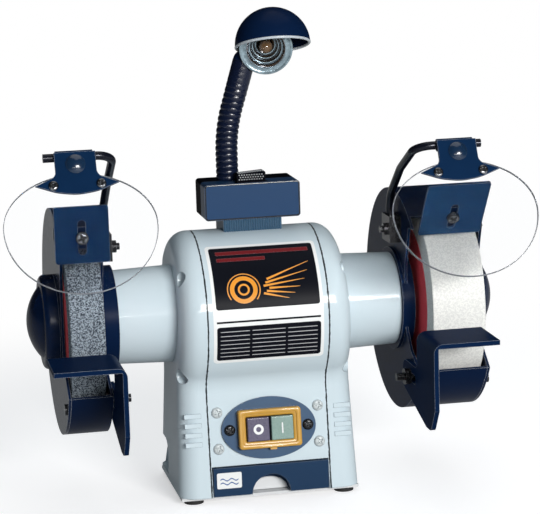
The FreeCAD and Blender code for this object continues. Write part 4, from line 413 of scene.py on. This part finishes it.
film_white = coated("film_white", (0.78, 0.80, 0.81), roughness=0.3, drift=0.04, grain=1800, bump=0.005, specular=0.2)
film_black = coated("film_black", (0.005, 0.006, 0.010), roughness=0.34, drift=0.3, grain=1800, bump=0.005, dust=0.002,
                    rim_scuff_and_painted_light=0.1, specular=0.04)
film_orange = coated("film_orange", (0.76, 0.30, 0.03), roughness=0.3, drift=0.35, patch=60, grain=1800, bump=0.005,
                     specular=0.1)
film_red = coated("film_red", (0.14, 0.006, 0.010), roughness=0.3, drift=0.3, patch=60, grain=1800, bump=0.005,
                  specular=0.05)
film_grey = coated("film_grey", (0.55, 0.56, 0.58), roughness=0.3, drift=0.1, grain=1800, bump=0.005, specular=0.1)
piece(grid_mesh("face_sheet", *layer_on(on_barrel, 0.0, 0.12, [panel_plan((-41, 41), (-29.7, 65.3), 3)])),
      film_white, "frame")
piece(grid_mesh("face_panels", *layer_on(on_barrel, 0.06, 0.16, [
    panel_plan((-38.6, 38.6), (12, 62.6), 2), panel_plan((-38.6, 38.6), (2.2, 3.6)),
    panel_plan((-38.6, 38.6), (-27.2, -0.6), 2)])), film_black, "frame")
motif = (-17.0, 26.0)
piece(grid_mesh("face_wheel", *layer_on(on_barrel, 0.1, 0.2, [
    ring_plan(motif, (3.0, 4.4)), ring_plan(motif, (7.0, 10.2))], ring=True), *layer_on(on_barrel, 0.1, 0.2, [
        ring_plan(motif, (11.6, 12.4), (-40, 215)),
        *(ray_plan(motif, (15.0 + 2.0 * (place % 3), 34.0 + 4.0 * place), -14.0 + 7.0 * place, (1.7, 0.3))
          for place in range(6))])), film_orange, "frame")
piece(grid_mesh("face_bars", *layer_on(on_barrel, 0.1, 0.2, [
    panel_plan((-34, 35), (55.0, 58.6), 0.6), panel_plan((-34, 2), (49.0, 52.2), 0.6)])), film_red, "frame")
piece(grid_mesh("face_rules", *layer_on(on_barrel, 0.1, 0.2, [
    panel_plan(column, (climb, climb + 0.45)) for climb in np.linspace(-24.0, -4.4, 7)
    for column in ((-36, -14.5), (-12.5, 12), (14, 36))])), film_grey, "frame")

# Working parts inside the castings: laminated iron, copper coils, bearings and the run capacitor.
bright_steel = coated("bright_steel", (0.56, 0.56, 0.57), roughness=0.30, spread=0.2, drift=0.15, patch=60, grain=2500,
                      dust=0.0, metallic=1.0)
dress(bright_steel, "spindle", "bearing_inner_rings", "bearing_outer_rings", "wheel_flanges", "wheel_nuts")
core_iron = coated("core_iron", (0.20, 0.20, 0.21), roughness=0.5, grain=1800, dust=0.0, metallic=1.0)
dress(core_iron, "rotor", "stator_core")
copper_wire = coated("copper_wire", (0.50, 0.16, 0.06), roughness=0.4, grain=1500, bump=0.2, dust=0.0, metallic=1.0)
dress(copper_wire, "stator_windings")
can_metal = coated("can_metal", (0.62, 0.63, 0.64), roughness=0.35, dust=0.0, metallic=1.0)
dress(can_metal, "run_capacitor")

# The underside: a pale grey steel plate on four black rubber feet, held by screws; its pale grey is painted light, so
# the shaded gap under the tray's front reads light.
grey_sheet = coated("grey_sheet", (0.64, 0.66, 0.68), roughness=0.5)
dress(grey_sheet, "base_plate", "tray_shelf")
foot_rubber = coated("foot_rubber", (0.014, 0.014, 0.015), roughness=0.75, grain=2200, bump=0.05)
dress(foot_rubber, "rubber_feet")
zinc_plate = coated("zinc_plate", (0.66, 0.67, 0.68), roughness=0.28, spread=0.15, patch=120, grain=3000, dust=0.0,
                    metallic=1.0)
dress(zinc_plate, "foot_screws")

# The water tray: a dark blue moulding that slides out under the switch, with a small white film
# on its front that shows two waves.
tray_moulding = coated("tray_moulding", (0.007, 0.031, 0.080), roughness=0.42, spread=0.1, drift=0.2, grain=2600,
                       bump=0.03, dust=0.01, specular=0.2)
dress(tray_moulding, "water_tray")
tray_front = -52.0


def on_tray(plan, lift):
    """Points on the tray's upright front from (across, height) in mm."""
    return np.stack((plan[..., 0], np.full(plan.shape[:-1], tray_front - lift), plan[..., 1]), axis=-1)


def wave_plan(across, height, swing, width):
    """Plan of a ribbon that rises and falls as a sine over two periods."""
    share = np.linspace(0, 1, 41)[:, None]
    crest = height + swing * np.sin(4 * np.pi * share) + width * np.linspace(-0.5, 0.5, 3)[None, :]
    return np.stack((np.broadcast_to(across[0] + (across[1] - across[0]) * share, crest.shape), crest), axis=-1)


piece(grid_mesh("tray_film", *layer_on(on_tray, -0.05, 0.15, [panel_plan((-41, -22.5), (11.5, 23.5), 1.2)])),
      film_white, "tray")
film_blue = coated("film_blue", (0.03, 0.10, 0.30), roughness=0.3, drift=0.2, grain=1800, bump=0.005)
piece(grid_mesh("tray_waves", *layer_on(on_tray, 0.08, 0.22, [
    wave_plan((-38.5, -25), height, 0.8, 0.9) for height in (15.2, 18.2)])), film_blue, "tray")

# In the tray's notch: a pale plate with an oval top across its back, painted light that stands in for the bright floor
# seen through the notch.
notch_turn = np.linspace(0, np.pi, 49)[None, :, None]
notch_spoke = np.concatenate((np.cos(notch_turn), 0 * notch_turn, 0.66 * np.sin(notch_turn)), axis=-1)


def notch_grid(rows):
    """Half-oval surface in the notch: rows of (half width, depth) swept over the arch."""
    rows = np.asarray(rows)[:, None]
    return np.array((0.0, 0.0, 5.6)) + rows[..., :1] * notch_spoke + rows[..., 1:] * np.array((0.0, 1.0, 0.0))


# Pale grey in the notch: painted floor light where the recess would lie in shade.
notch_floor_paint = coated("notch_floor_paint", (0.66, 0.68, 0.70), roughness=0.5, drift=0.1, grain=1800, bump=0.005, specular=0.2)
piece(grid_mesh("notch_painted_floor", slab(notch_grid(((14.1, -40.6), (13.7, -41.0), (0.0, -41.0))),
                                      notch_grid(((14.1, -40.1), (13.7, -40.1), (0.0, -40.1))))), notch_floor_paint,
      "tray")

# The switch: stop and start buttons in a stepped amber frame on an oval blue plate, with black cross-head
# screws in the plate and four plated ones in the panel round it.
plate_moulding = coated("plate_moulding", (0.015, 0.060, 0.138), roughness=0.38, spread=0.1, drift=0.35, patch=45,
                        grain=2600, bump=0.03, specular=0.3)
dress(plate_moulding, "switch_plate")
black_moulding = coated("black_moulding", (0.002, 0.0025, 0.005), roughness=0.5, grain=2600, bump=0.05, dust=0.001,
                        rim_scuff_and_painted_light=0.2, specular=0.01)
dress(black_moulding, "switch_block", "cable_gland")


def leaning(origin, lean):
    """Mapping from (across, up) plans and heights to a plate whose top leans back by an angle."""
    turn = math.radians(lean)
    axes = np.array(((1, 0, 0), (0, math.sin(turn), math.cos(turn)), (0, -math.cos(turn), math.sin(turn))))

    def mapping(plan, height):
        """Points on the leaning plate."""
        local = np.concatenate((plan, np.broadcast_to(height, plan.shape[:-1])[..., None]), axis=-1)
        return np.asarray(origin) + local @ axes

    return mapping


def cross_head(mapping, centre, seat, radius, height, turn=20.0):
    """Pan head with a cross dip: a blunt dome by radius, less a dip where a point is near either arm of the cross."""
    share = np.concatenate((np.linspace(0, 0.92, 24), (0.97, 1.0, 1.0, 0.0)))[:, None]
    angle = np.linspace(0, 2 * np.pi, 73)[None, :]
    along, aside = share * np.cos(angle), share * np.sin(angle)
    near, far = np.minimum(abs(along), abs(aside)), np.maximum(abs(along), abs(aside))
    dip = np.clip((0.17 - near) / 0.06, 0, 1) * np.clip((0.66 - far) / 0.2, 0, 1)
    rise = seat + height * (np.sqrt(np.clip(1 - share ** 5, 0, 1)) - 0.6 * dip)
    rise[-2:] = seat - 0.4
    swing = math.radians(turn)
    plan = np.stack((centre[0] + radius * (along * math.cos(swing) - aside * math.sin(swing)),
                     centre[1] + radius * (along * math.sin(swing) + aside * math.cos(swing))), axis=-1)
    return mapping(plan, rise)


def round_rectangle(centre, half_across, half_up, corner):
    """Closed outline of a rectangle with quarter-round corners, the same number of points at any size."""
    turn = np.linspace(0, 2 * np.pi, 97)
    bulge = corner * np.stack((np.cos(turn), np.sin(turn)), axis=-1)
    side = np.stack((np.sign(np.round(np.cos(turn), 9)) * (half_across - corner),
                     np.sign(np.round(np.sin(turn), 9)) * (half_up - corner)), axis=-1)
    return np.asarray(centre) + side + bulge


on_panel = leaning((0, -45.617, 54), 7.4219)
amber_moulding = coated("amber_moulding", (0.53, 0.29, 0.040), roughness=0.33, drift=0.08, coat=0.2)
bezel_outer = round_rectangle((0, 0), 23.5, 14.5, 2.2)
bezel_inner = round_rectangle((-0.2, 0), 17.7, 9.1, 1.0)
bezel_steps = np.array(((0.0, 2.0), (0.0, 7.0), (0.04, 7.6), (0.14, 8.0), (0.50, 8.0), (0.58, 7.7), (0.62, 6.9),
                        (0.86, 6.8), (0.94, 6.5), (1.0, 5.8), (1.0, 2.0), (0.0, 2.0)))
bezel_plan = bezel_outer + (bezel_inner - bezel_outer) * bezel_steps[:, :1, None]
bezel_tab = slab(on_panel(panel_plan((-0.5, 4.5), (-16.0, -14.0), 0.6), 6.4),
                 on_panel(panel_plan((-0.5, 4.5), (-16.0, -14.0), 0.6), 2.0))
bezel = piece(grid_mesh("switch_bezel", on_panel(bezel_plan, bezel_steps[:, 1:]), bezel_tab), amber_moulding,
              "frame")
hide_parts("switch_frame")
stop_moulding = coated("stop_moulding", (0.076, 0.068, 0.128), roughness=0.28, drift=0.4, patch=70, coat=0.4)
dress(stop_moulding, "stop_button")
start_moulding = coated("start_moulding", (0.20, 0.31, 0.28), roughness=0.28, drift=0.3, patch=70, coat=0.4)
dress(start_moulding, "start_button")
button_face = 9.5
piece(grid_mesh("stop_ring", *layer_on(on_panel, button_face - 0.1, button_face + 0.12, [
    ring_plan((-9.2, 0), (1.9, 3.8))], ring=True)), film_white, "stop")
piece(grid_mesh("start_bar", *layer_on(on_panel, button_face - 0.1, button_face + 0.12, [
    panel_plan((8.3, 9.3), (-3.9, 3.9), 0.4)])), film_white, "start")
black_oxide = coated("black_oxide", (0.012, 0.013, 0.016), roughness=0.26, metallic=0.5, dust=0.0, rim_scuff_and_painted_light=1.2)
dress(black_oxide, "housing_screws")
plate_screws = piece(grid_mesh("plate_cross_screws", *(
    cross_head(on_panel, (side * 29.5, 0), 2, 4.2, 2.2, 35 * side) for side in (-1, 1))), black_oxide,
    "frame")
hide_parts("switch_plate_screws")
# Its dark rim colour is painted shade round each head's seat and along its cross.
satin_zinc = coated("satin_zinc", (0.50, 0.55, 0.57), roughness=0.45, spread=0.15, patch=120, grain=3000, dust=0.0,
                    rim_scuff_and_painted_light=4.0, rim_scuff_and_painted_light_colour=(0.05, 0.06, 0.07), metallic=0.15, specular=0.3)
panel_screws = piece(grid_mesh("panel_cross_screws", *(
    cross_head(on_panel, (side * 38, level * 13.5), 0, 4.2, 2.0, 25 + 30 * side + 20 * level)
    for side in (-1, 1) for level in (-1, 1))), satin_zinc, "frame")
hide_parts("panel_screws")

# The wheels: vitrified grit, coarse speckled grey on one side and fine white on the other,
# between crimson paper washers.
grit_group, grit_in, grit_out = node_group(
    "packed_grit", [("Dark", COLOUR), ("Light", COLOUR), ("Grit Scale", FLOAT)], [("Colour", COLOUR), ("Height", FLOAT)])
cells = pattern(grit_group, "ShaderNodeTexVoronoi", grit_in.outputs["Grit Scale"])
cell_parts = grit_group.nodes.new("ShaderNodeSeparateColor")
grit_group.links.new(cells.outputs["Color"], cell_parts.inputs[0])
lightness = grit_group.nodes.new("ShaderNodeMapRange")
lightness.inputs["From Min"].default_value = 0.35
lightness.inputs["From Max"].default_value = 0.65
grit_group.links.new(cell_parts.outputs["Red"], lightness.inputs["Value"])
grit_group.links.new(colour_mix(grit_group, lightness.outputs["Result"], grit_in.outputs["Dark"], grit_in.outputs["Light"]),
                     grit_out.inputs["Colour"])
hollow = calculate(grit_group, "MULTIPLY", cells.outputs["Distance"], 0.8)
grit_group.links.new(calculate(grit_group, "SUBTRACT", cell_parts.outputs["Green"], hollow), grit_out.inputs["Height"])


def grit(name, dark, light, scale, bump):
    """Bonded grit: cells of random tone and height, fully matt."""
    made = bpy.data.materials.new(name)
    made.use_nodes = True
    tree = made.node_tree
    skin = tree.nodes["Principled BSDF"]
    layer = tree.nodes.new("ShaderNodeGroup")
    layer.node_tree = grit_group
    for socket, value in (("Dark", (*dark, 1)), ("Light", (*light, 1)), ("Grit Scale", scale)):
        layer.inputs[socket].default_value = value
    relief = tree.nodes.new("ShaderNodeBump")
    relief.inputs["Distance"].default_value = bump * mm
    tree.links.new(layer.outputs["Height"], relief.inputs["Height"])
    tree.links.new(layer.outputs["Colour"], skin.inputs["Base Color"])
    tree.links.new(relief.outputs["Normal"], skin.inputs["Normal"])
    skin.inputs["Roughness"].default_value = 0.9
    return made


dress(grit("grey_grit", (0.014, 0.023, 0.041), (0.31, 0.37, 0.43), 1750, 0.2), "left_wheel")
dress(grit("white_grit", (0.66, 0.67, 0.66), (0.77, 0.78, 0.76), 1100, 0.10), "right_wheel")
crimson_paper = coated("crimson_paper", (0.66, 0.045, 0.065), roughness=0.8, patch=80)
dress(crimson_paper, "wheel_blotters")

# The guards: pressed steel pans with screwed covers, in glossy dark navy enamel, with the spark plates
# and bent tool rests bolted to them.
# The pale rims on the navy coats are partly wear and partly painted highlights along the pressed edges.
navy_enamel = coated("navy_enamel", (0.0022, 0.0105, 0.040), roughness=0.32, spread=0.12, drift=0.25, grain=1200,
                     bump=0.02, dust=0.002, rim_scuff_and_painted_light=2.4, specular=0.04)
dress(navy_enamel, "left_guard", "right_guard")
rest_enamel = coated("rest_enamel", (0.0026, 0.013, 0.047), roughness=0.45, spread=0.12, drift=0.25, grain=1200,
                     bump=0.02, dust=0.002, rim_scuff_and_painted_light=2.4, specular=0.01)
dress(rest_enamel, "left_tool_rest", "right_tool_rest")
cover_enamel = coated("cover_enamel", (0.0022, 0.0105, 0.040), roughness=0.24, spread=0.12, drift=0.25, grain=1200,
                      bump=0.02, dust=0.002, rim_scuff_and_painted_light=2.4, specular=0.12)
dress(cover_enamel, "left_guard_cover", "right_guard_cover")
navy_sheet = coated("navy_sheet", (0.0026, 0.018, 0.058), roughness=0.38, spread=0.2, drift=0.35, patch=50, grain=1600,
                    bump=0.03, dust=0.002, rim_scuff_and_painted_light=2.4, specular=0.04)
dress(navy_sheet, "left_spark_plate")
# A lighter, streakier copy of the left plate's navy for the right spark plate: painted sheen where the tilted plate
# catches the light.
sheen_lit_navy = coated("sheen_lit_navy", (0.008, 0.036, 0.100), roughness=0.42, spread=0.2, drift=0.5, patch=70, grain=1600,
                    bump=0.02, dust=0.002, rim_scuff_and_painted_light=2.4, specular=0.10)
dress(sheen_lit_navy, "right_spark_plate")
dress(black_oxide, "guard_screws", "clamp_bolts", "rod_clamps")
dark_nickel = coated("dark_nickel", (0.22, 0.23, 0.25), roughness=0.22, spread=0.1, dust=0.0, metallic=1.0)
spark_heads = piece(grid_mesh(
    "spark_cross_screws",
    cross_head(leaning((-133.8, -62, 189.5), 0), (0, 18), 1.9, 4.9, 3.0),
    cross_head(leaning((137.5, -55, 193.5), -38), (0, 18), 1.9, 4.9, 3.0, 50)), dark_nickel, "frame")

# The eye shields: dark bent rods that carry navy brackets and clear oval plates whose cut edge is drawn as a thin grey
# band, a painted line for the light bent and reflected at the edge; each bracket on one domed bolt and two small
# screws.
oiled_bar = coated("oiled_bar", (0.007, 0.009, 0.018), roughness=0.24, metallic=0.4, dust=0.0, rim_scuff_and_painted_light=0.2)
dress(oiled_bar, "left_shield_rod", "right_shield_rod")
dress(navy_sheet, "left_shield_bracket", "right_shield_bracket")
clear_plate = bpy.data.materials.new("clear_plate")
clear_plate.use_nodes = True
clear_skin = clear_plate.node_tree.nodes["Principled BSDF"]
clear_skin.inputs["Base Color"].default_value = (0.985, 0.99, 0.995, 1)
clear_skin.inputs["Transmission Weight"].default_value = 1.0
clear_skin.inputs["IOR"].default_value = 1.06
smears = pattern(clear_plate.node_tree, "ShaderNodeTexNoise", 60.0, Detail=5.0).outputs["Fac"]
clear_plate.node_tree.links.new(calculate(clear_plate.node_tree, "MULTIPLY", smears, 0.03),
                                clear_skin.inputs["Roughness"])
dress(clear_plate, "left_shield_lens", "right_shield_lens")
# Grey band round each clear plate: painted refraction and reflection at its cut edge.
painted_edge_line = coated("painted_edge_line", (0.12, 0.13, 0.15), roughness=0.45, drift=0.9, patch=30, dust=0.0)
gloss_navy = coated("gloss_navy", (0.006, 0.022, 0.056), roughness=0.22, drift=0.2, dust=0.0, coat=0.5)


def dome_head(mapping, centre, seat, radius, height):
    """Round bolt head: a spherical cap on a short rim, closed below its seat."""
    share = np.concatenate((np.linspace(0, 1, 20), (1.0, 1.0, 0.0)))[:, None]
    angle = np.linspace(0, 2 * np.pi, 65)[None, :]
    rise = seat + 0.7 + (height - 0.7) * (1 - share ** 2) + 0 * angle
    rise[-3] = seat + 0.3
    rise[-2:] = seat - 0.4
    plan = np.stack((centre[0] + radius * share * np.cos(angle), centre[1] + radius * share * np.sin(angle)), axis=-1)
    return mapping(plan, rise)


lens_reach, lens_low, lens_high, lens_centre = 53.2, 48.0, 38.0, -52.0
edge_turn = np.linspace(0, 2 * np.pi, 193)[:, None]
edge_inset = np.array((0.04, 0.5, 0.5, 0.04, 0.04))[None, :]
lens_rise = np.where(np.cos(edge_turn) > 0, lens_high, lens_low)
edge_plan = np.stack(((lens_reach - edge_inset) * np.sin(edge_turn),
                      lens_centre + (lens_rise - edge_inset) * np.cos(edge_turn)), axis=-1)
edge_height = np.broadcast_to(np.array((2.54, 2.54, 4.46, 4.46, 2.54)), edge_plan.shape[:-1])
for side_name, shield_origin in (("left", (-140, -90, 269.5)), ("right", (133, -90, 263))):
    on_shield = leaning(shield_origin, 27)
    piece(grid_mesh(f"{side_name}_lens_edge", on_shield(edge_plan, edge_height)), painted_edge_line,
          f"{side_name}_shield")
    piece(grid_mesh(f"{side_name}_bracket_dome", dome_head(on_shield, (0, -7.5), 6.5, 6.8, 3.2)), gloss_navy,
          f"{side_name}_shield")
    heads = piece(grid_mesh(f"{side_name}_bracket_heads", *(
        cross_head(on_shield, (place, -22.5), 6.5, 3.6, 2.0, place) for place in (-16.5, 16.5))), dark_nickel,
        f"{side_name}_shield")
    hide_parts(f"{side_name}_shield_screws")

# The lamp: a fluted pedestal and a two-part box with a dimpled rocker switch, a ribbed gooseneck shown with a fixed
# bend to the right, and a bowl with a stepped reflector and an amber bulb under a half-round hood with a rolled rim.
pedestal_moulding = coated("pedestal_moulding", (0.028, 0.078, 0.140), roughness=0.42, spread=0.1, drift=0.2, grain=2600,
                           bump=0.03, specular=0.3)
dress(pedestal_moulding, "lamp_pedestal")
lid_moulding = coated("lid_moulding", (0.0062, 0.039, 0.112), roughness=0.38, spread=0.1, drift=0.2, grain=2600,
                      bump=0.03, dust=0.01, rim_scuff_and_painted_light=1.2, specular=0.2)
dress(lid_moulding, "lamp_box_front")
dress(black_moulding, "lamp_box_rear")
flute_across, flute_up = np.meshgrid(np.linspace(-21.6, 21.6, 337), np.linspace(194.5, 204.8, 6))
flute_depth = -9.0 - 0.6 * abs(np.sin(np.pi * flute_across / 1.8))
flutes = piece(grid_mesh("pedestal_flutes", slab(
    np.stack((flute_across, flute_depth, flute_up), axis=-1),
    np.stack((flute_across, np.full_like(flute_across, -8.6), flute_up), axis=-1))), pedestal_moulding,
    "frame")

trim_black = coated("trim_black", (0.004, 0.006, 0.012), roughness=0.24, dust=0.0, rim_scuff_and_painted_light=0.3, coat=0.3)
trim_profile = np.array(((-0.05, -10.4), (-0.05, -11.5), (0.15, -11.95), (0.55, -12.2), (1.0, -12.2), (1.3, -11.95),
                         (1.3, -11.5), (-0.05, -10.4)))
trim_loops = np.stack([round_rectangle((0, 218.5), 36 - inset, 13.5 - inset, 2.4 - 0.8 * inset)
                       for inset in trim_profile[:, 0]])
trim_depth = np.broadcast_to(trim_profile[:, 1, None], trim_loops.shape[:-1])
piece(grid_mesh("lid_trim", np.stack((trim_loops[..., 0], trim_depth, trim_loops[..., 1]), axis=-1)), trim_black,
      "frame")
dress(black_moulding, "lamp_rocker")


def on_key_top(plan, height):
    """Points on the rocker's sloping top from (across, back) in mm."""
    return np.stack((plan[..., 0], plan[..., 1], 239.25 + plan[..., 0] * 1.5 / 22 + height), axis=-1)


def stud(mapping, across, along):
    """Small round stud on a mapped face: a low dome with its rim under the face."""
    share = np.array((0.0, 0.5, 0.85, 1.0, 1.0, 0.0))[:, None]
    angle = np.linspace(0, 2 * np.pi, 9)[None, :]
    plan = np.stack((across + 0.52 * share * np.cos(angle), along + 0.52 * share * np.sin(angle)), axis=-1)
    return mapping(plan, np.array((0.36, 0.30, 0.14, -0.05, -0.2, -0.2))[:, None] + 0 * angle)


on_key_front = leaning((0, -9.2, 0), 0)
# Pale studs on the black rocker: painted glints on its dimpled faces.
stud_glint_paint = coated("stud_glint_paint", (0.50, 0.52, 0.55), roughness=0.35, dust=0.0)
piece(grid_mesh("rocker_studs", *(
    stud(on_key_front, across + shift, level) for level, shift in ((234.2, 0.0), (235.9, 0.9), (237.6, 0.0))
    for across in np.linspace(-9.0, 8.1, 10)), *(
        stud(on_key_top, across + shift, back) for back, shift in ((-7.6, 0.9), (-5.7, 0.0), (-3.8, 0.9), (-1.9, 0.0))
        for across in np.linspace(-9.0, 8.1, 10))), stud_glint_paint, "rocker")


def capped(loops):
    """Run of closed loops with both end loops drawn to their middle."""
    ends = [np.repeat(loops[end].mean(axis=0, keepdims=True), loops.shape[1], axis=0)[None] for end in (0, -1)]
    return np.concatenate((ends[0], loops, ends[1]))


neck_foot = np.array((-14.5, 10.0, 232.0))
neck_straight, neck_bend, neck_turn = 20.0, 120.0, math.radians(17)
neck_length, neck_cuff = 74.4, 15.8
hose_radius, rib_groove, rib_pitch = 8.4, 0.9, 4.3


def neck_line(run):
    """Point and bend angle of the neck's middle line: a straight rise, an arc to the right, a straight end."""
    angle = np.clip((run - neck_straight) / neck_bend, 0, neck_turn)
    rest = np.clip(run - neck_straight - neck_bend * neck_turn, 0, None)
    across = neck_bend * (1 - np.cos(angle)) + rest * math.sin(neck_turn)
    rise = np.minimum(run, neck_straight) + neck_bend * np.sin(angle) + rest * math.cos(neck_turn)
    return neck_foot + np.stack((across, np.zeros_like(across), rise), axis=-1), angle


def neck_tube(low, high):
    """Ribbed hose along the neck's line: round ribs with a groove at each pitch, fading out towards the top."""
    run = np.linspace(low, high, int((high - low) / rib_pitch * 12) + 1)
    middle, angle = neck_line(run)
    groove = rib_groove * np.clip((neck_length + rib_pitch - run) / (5 * rib_pitch), 0.12, 1)
    radius = hose_radius - groove * (1 - np.sqrt(abs(np.sin(np.pi * run / rib_pitch))))
    turn = np.linspace(0, 2 * np.pi, 65)[None, :, None]
    side = np.stack((np.cos(angle), np.zeros_like(angle), -np.sin(angle)), axis=-1)[:, None]
    rings = middle[:, None] + radius[:, None, None] * (np.cos(turn) * side + np.sin(turn) * np.array((0.0, 1.0, 0.0)))
    return capped(rings)


neck_joint = 9 * rib_pitch
hose_black = coated("hose_black", (0.004, 0.008, 0.026), roughness=0.22, drift=0.2, grain=2400, dust=0.002, rim_scuff_and_painted_light=0.15,
                    specular=0.5)
neck_low = piece(grid_mesh("neck_low", neck_tube(0.0, neck_joint)), hose_black)
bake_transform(neck_low)
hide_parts("neck_base", "neck_middle")
neck_high = piece(grid_mesh("neck_high", neck_tube(neck_joint, neck_length + neck_cuff)), hose_black)
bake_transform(neck_high)
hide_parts("neck_upper")


def turned(profile, centre, axis):
    """Surface of revolution: rows of (radius, distance along the axis) swept once round the axis."""
    axis = np.asarray(axis) / np.linalg.norm(axis)
    across = np.cross(axis, (0.0, 0.0, 1.0))
    across = across / np.linalg.norm(across)
    turn = np.linspace(0, 2 * np.pi, 129)[None, :, None]
    spoke = np.cos(turn) * across + np.sin(turn) * np.cross(axis, across)
    rows = np.asarray(profile)
    return np.asarray(centre) + rows[:, 1, None, None] * axis + rows[:, 0, None, None] * spoke


lamp_axis = (-0.153, -0.966, -0.208)
bowl_centre = (15.0, -4.0, 330.0)
dress(navy_enamel, "lamp_bowl", "lamp_hood")
depth_share = np.linspace(0, 1, 61)
dish_face = np.stack((14.2 - 9.0 * depth_share ** 1.3 - 0.45 * abs(np.sin(4 * np.pi * depth_share)),
                      0.8 - 12.8 * depth_share), axis=-1)
dish_back = np.array(((6.2, -12.0), (14.9, 0.0), (14.9, 0.8), (14.2, 0.8)))
mirror_metal = coated("mirror_metal", (0.42, 0.44, 0.48), roughness=0.10, spread=0.05, dust=0.0, metallic=1.0)
piece(grid_mesh("stepped_dish", turned(np.concatenate((dish_face, dish_back)), bowl_centre, lamp_axis)), mirror_metal,
      "lamp_head")
bead_turn = np.linspace(0, 2 * np.pi, 17)
bead_round = np.stack((np.cos(bead_turn), np.sin(bead_turn)), axis=-1)
ring_face = np.array(((14.5, 0.0), (19.8, 0.0), (19.8, 0.9), (19.4, 1.4), (18.6, 1.5), (18.0, 1.1), (17.2, 0.8),
                      (16.0, 0.8), (15.2, 1.1), (14.5, 1.5), (14.5, 0.0)))
# The strong patchy drift breaks the ring's colour into dark blotches: painted reflections on the plated ring and beads.
bright_ring = coated("bright_ring", (0.30, 0.40, 0.46), roughness=0.22, spread=0.1, drift=1.6, patch=330, dust=0.0,
                     metallic=0.5)
ring = piece(grid_mesh("reflector_ring", turned(ring_face, bowl_centre, lamp_axis)), bright_ring,
             "lamp_head")
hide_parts("lamp_reflector")
piece(grid_mesh("dish_beads", *(turned(np.array(place) + 0.5 * bead_round, bowl_centre, lamp_axis)
                                for place in ((12.1, -3.0), (9.6, -6.6), (7.2, -9.5)))), bright_ring,
      "lamp_head")
amber_glass = coated("amber_glass", (0.12, 0.07, 0.035), roughness=0.10, drift=1.2, patch=260, dust=0.0, coat=0.8)
dress(amber_glass, "lamp_bulb")
hood_tilt = math.radians(17)
rim_bead = np.array((27.25, 0.0)) + 1.05 * bead_round
pale_rim = coated("pale_rim", (0.50, 0.55, 0.60), roughness=0.25, drift=0.15, dust=0.0, coat=0.4)
piece(grid_mesh("hood_rim", turned(rim_bead, (21.0, 0.0, 332.0), (0, math.sin(hood_tilt), math.cos(hood_tilt)))),
      pale_rim, "lamp_head")
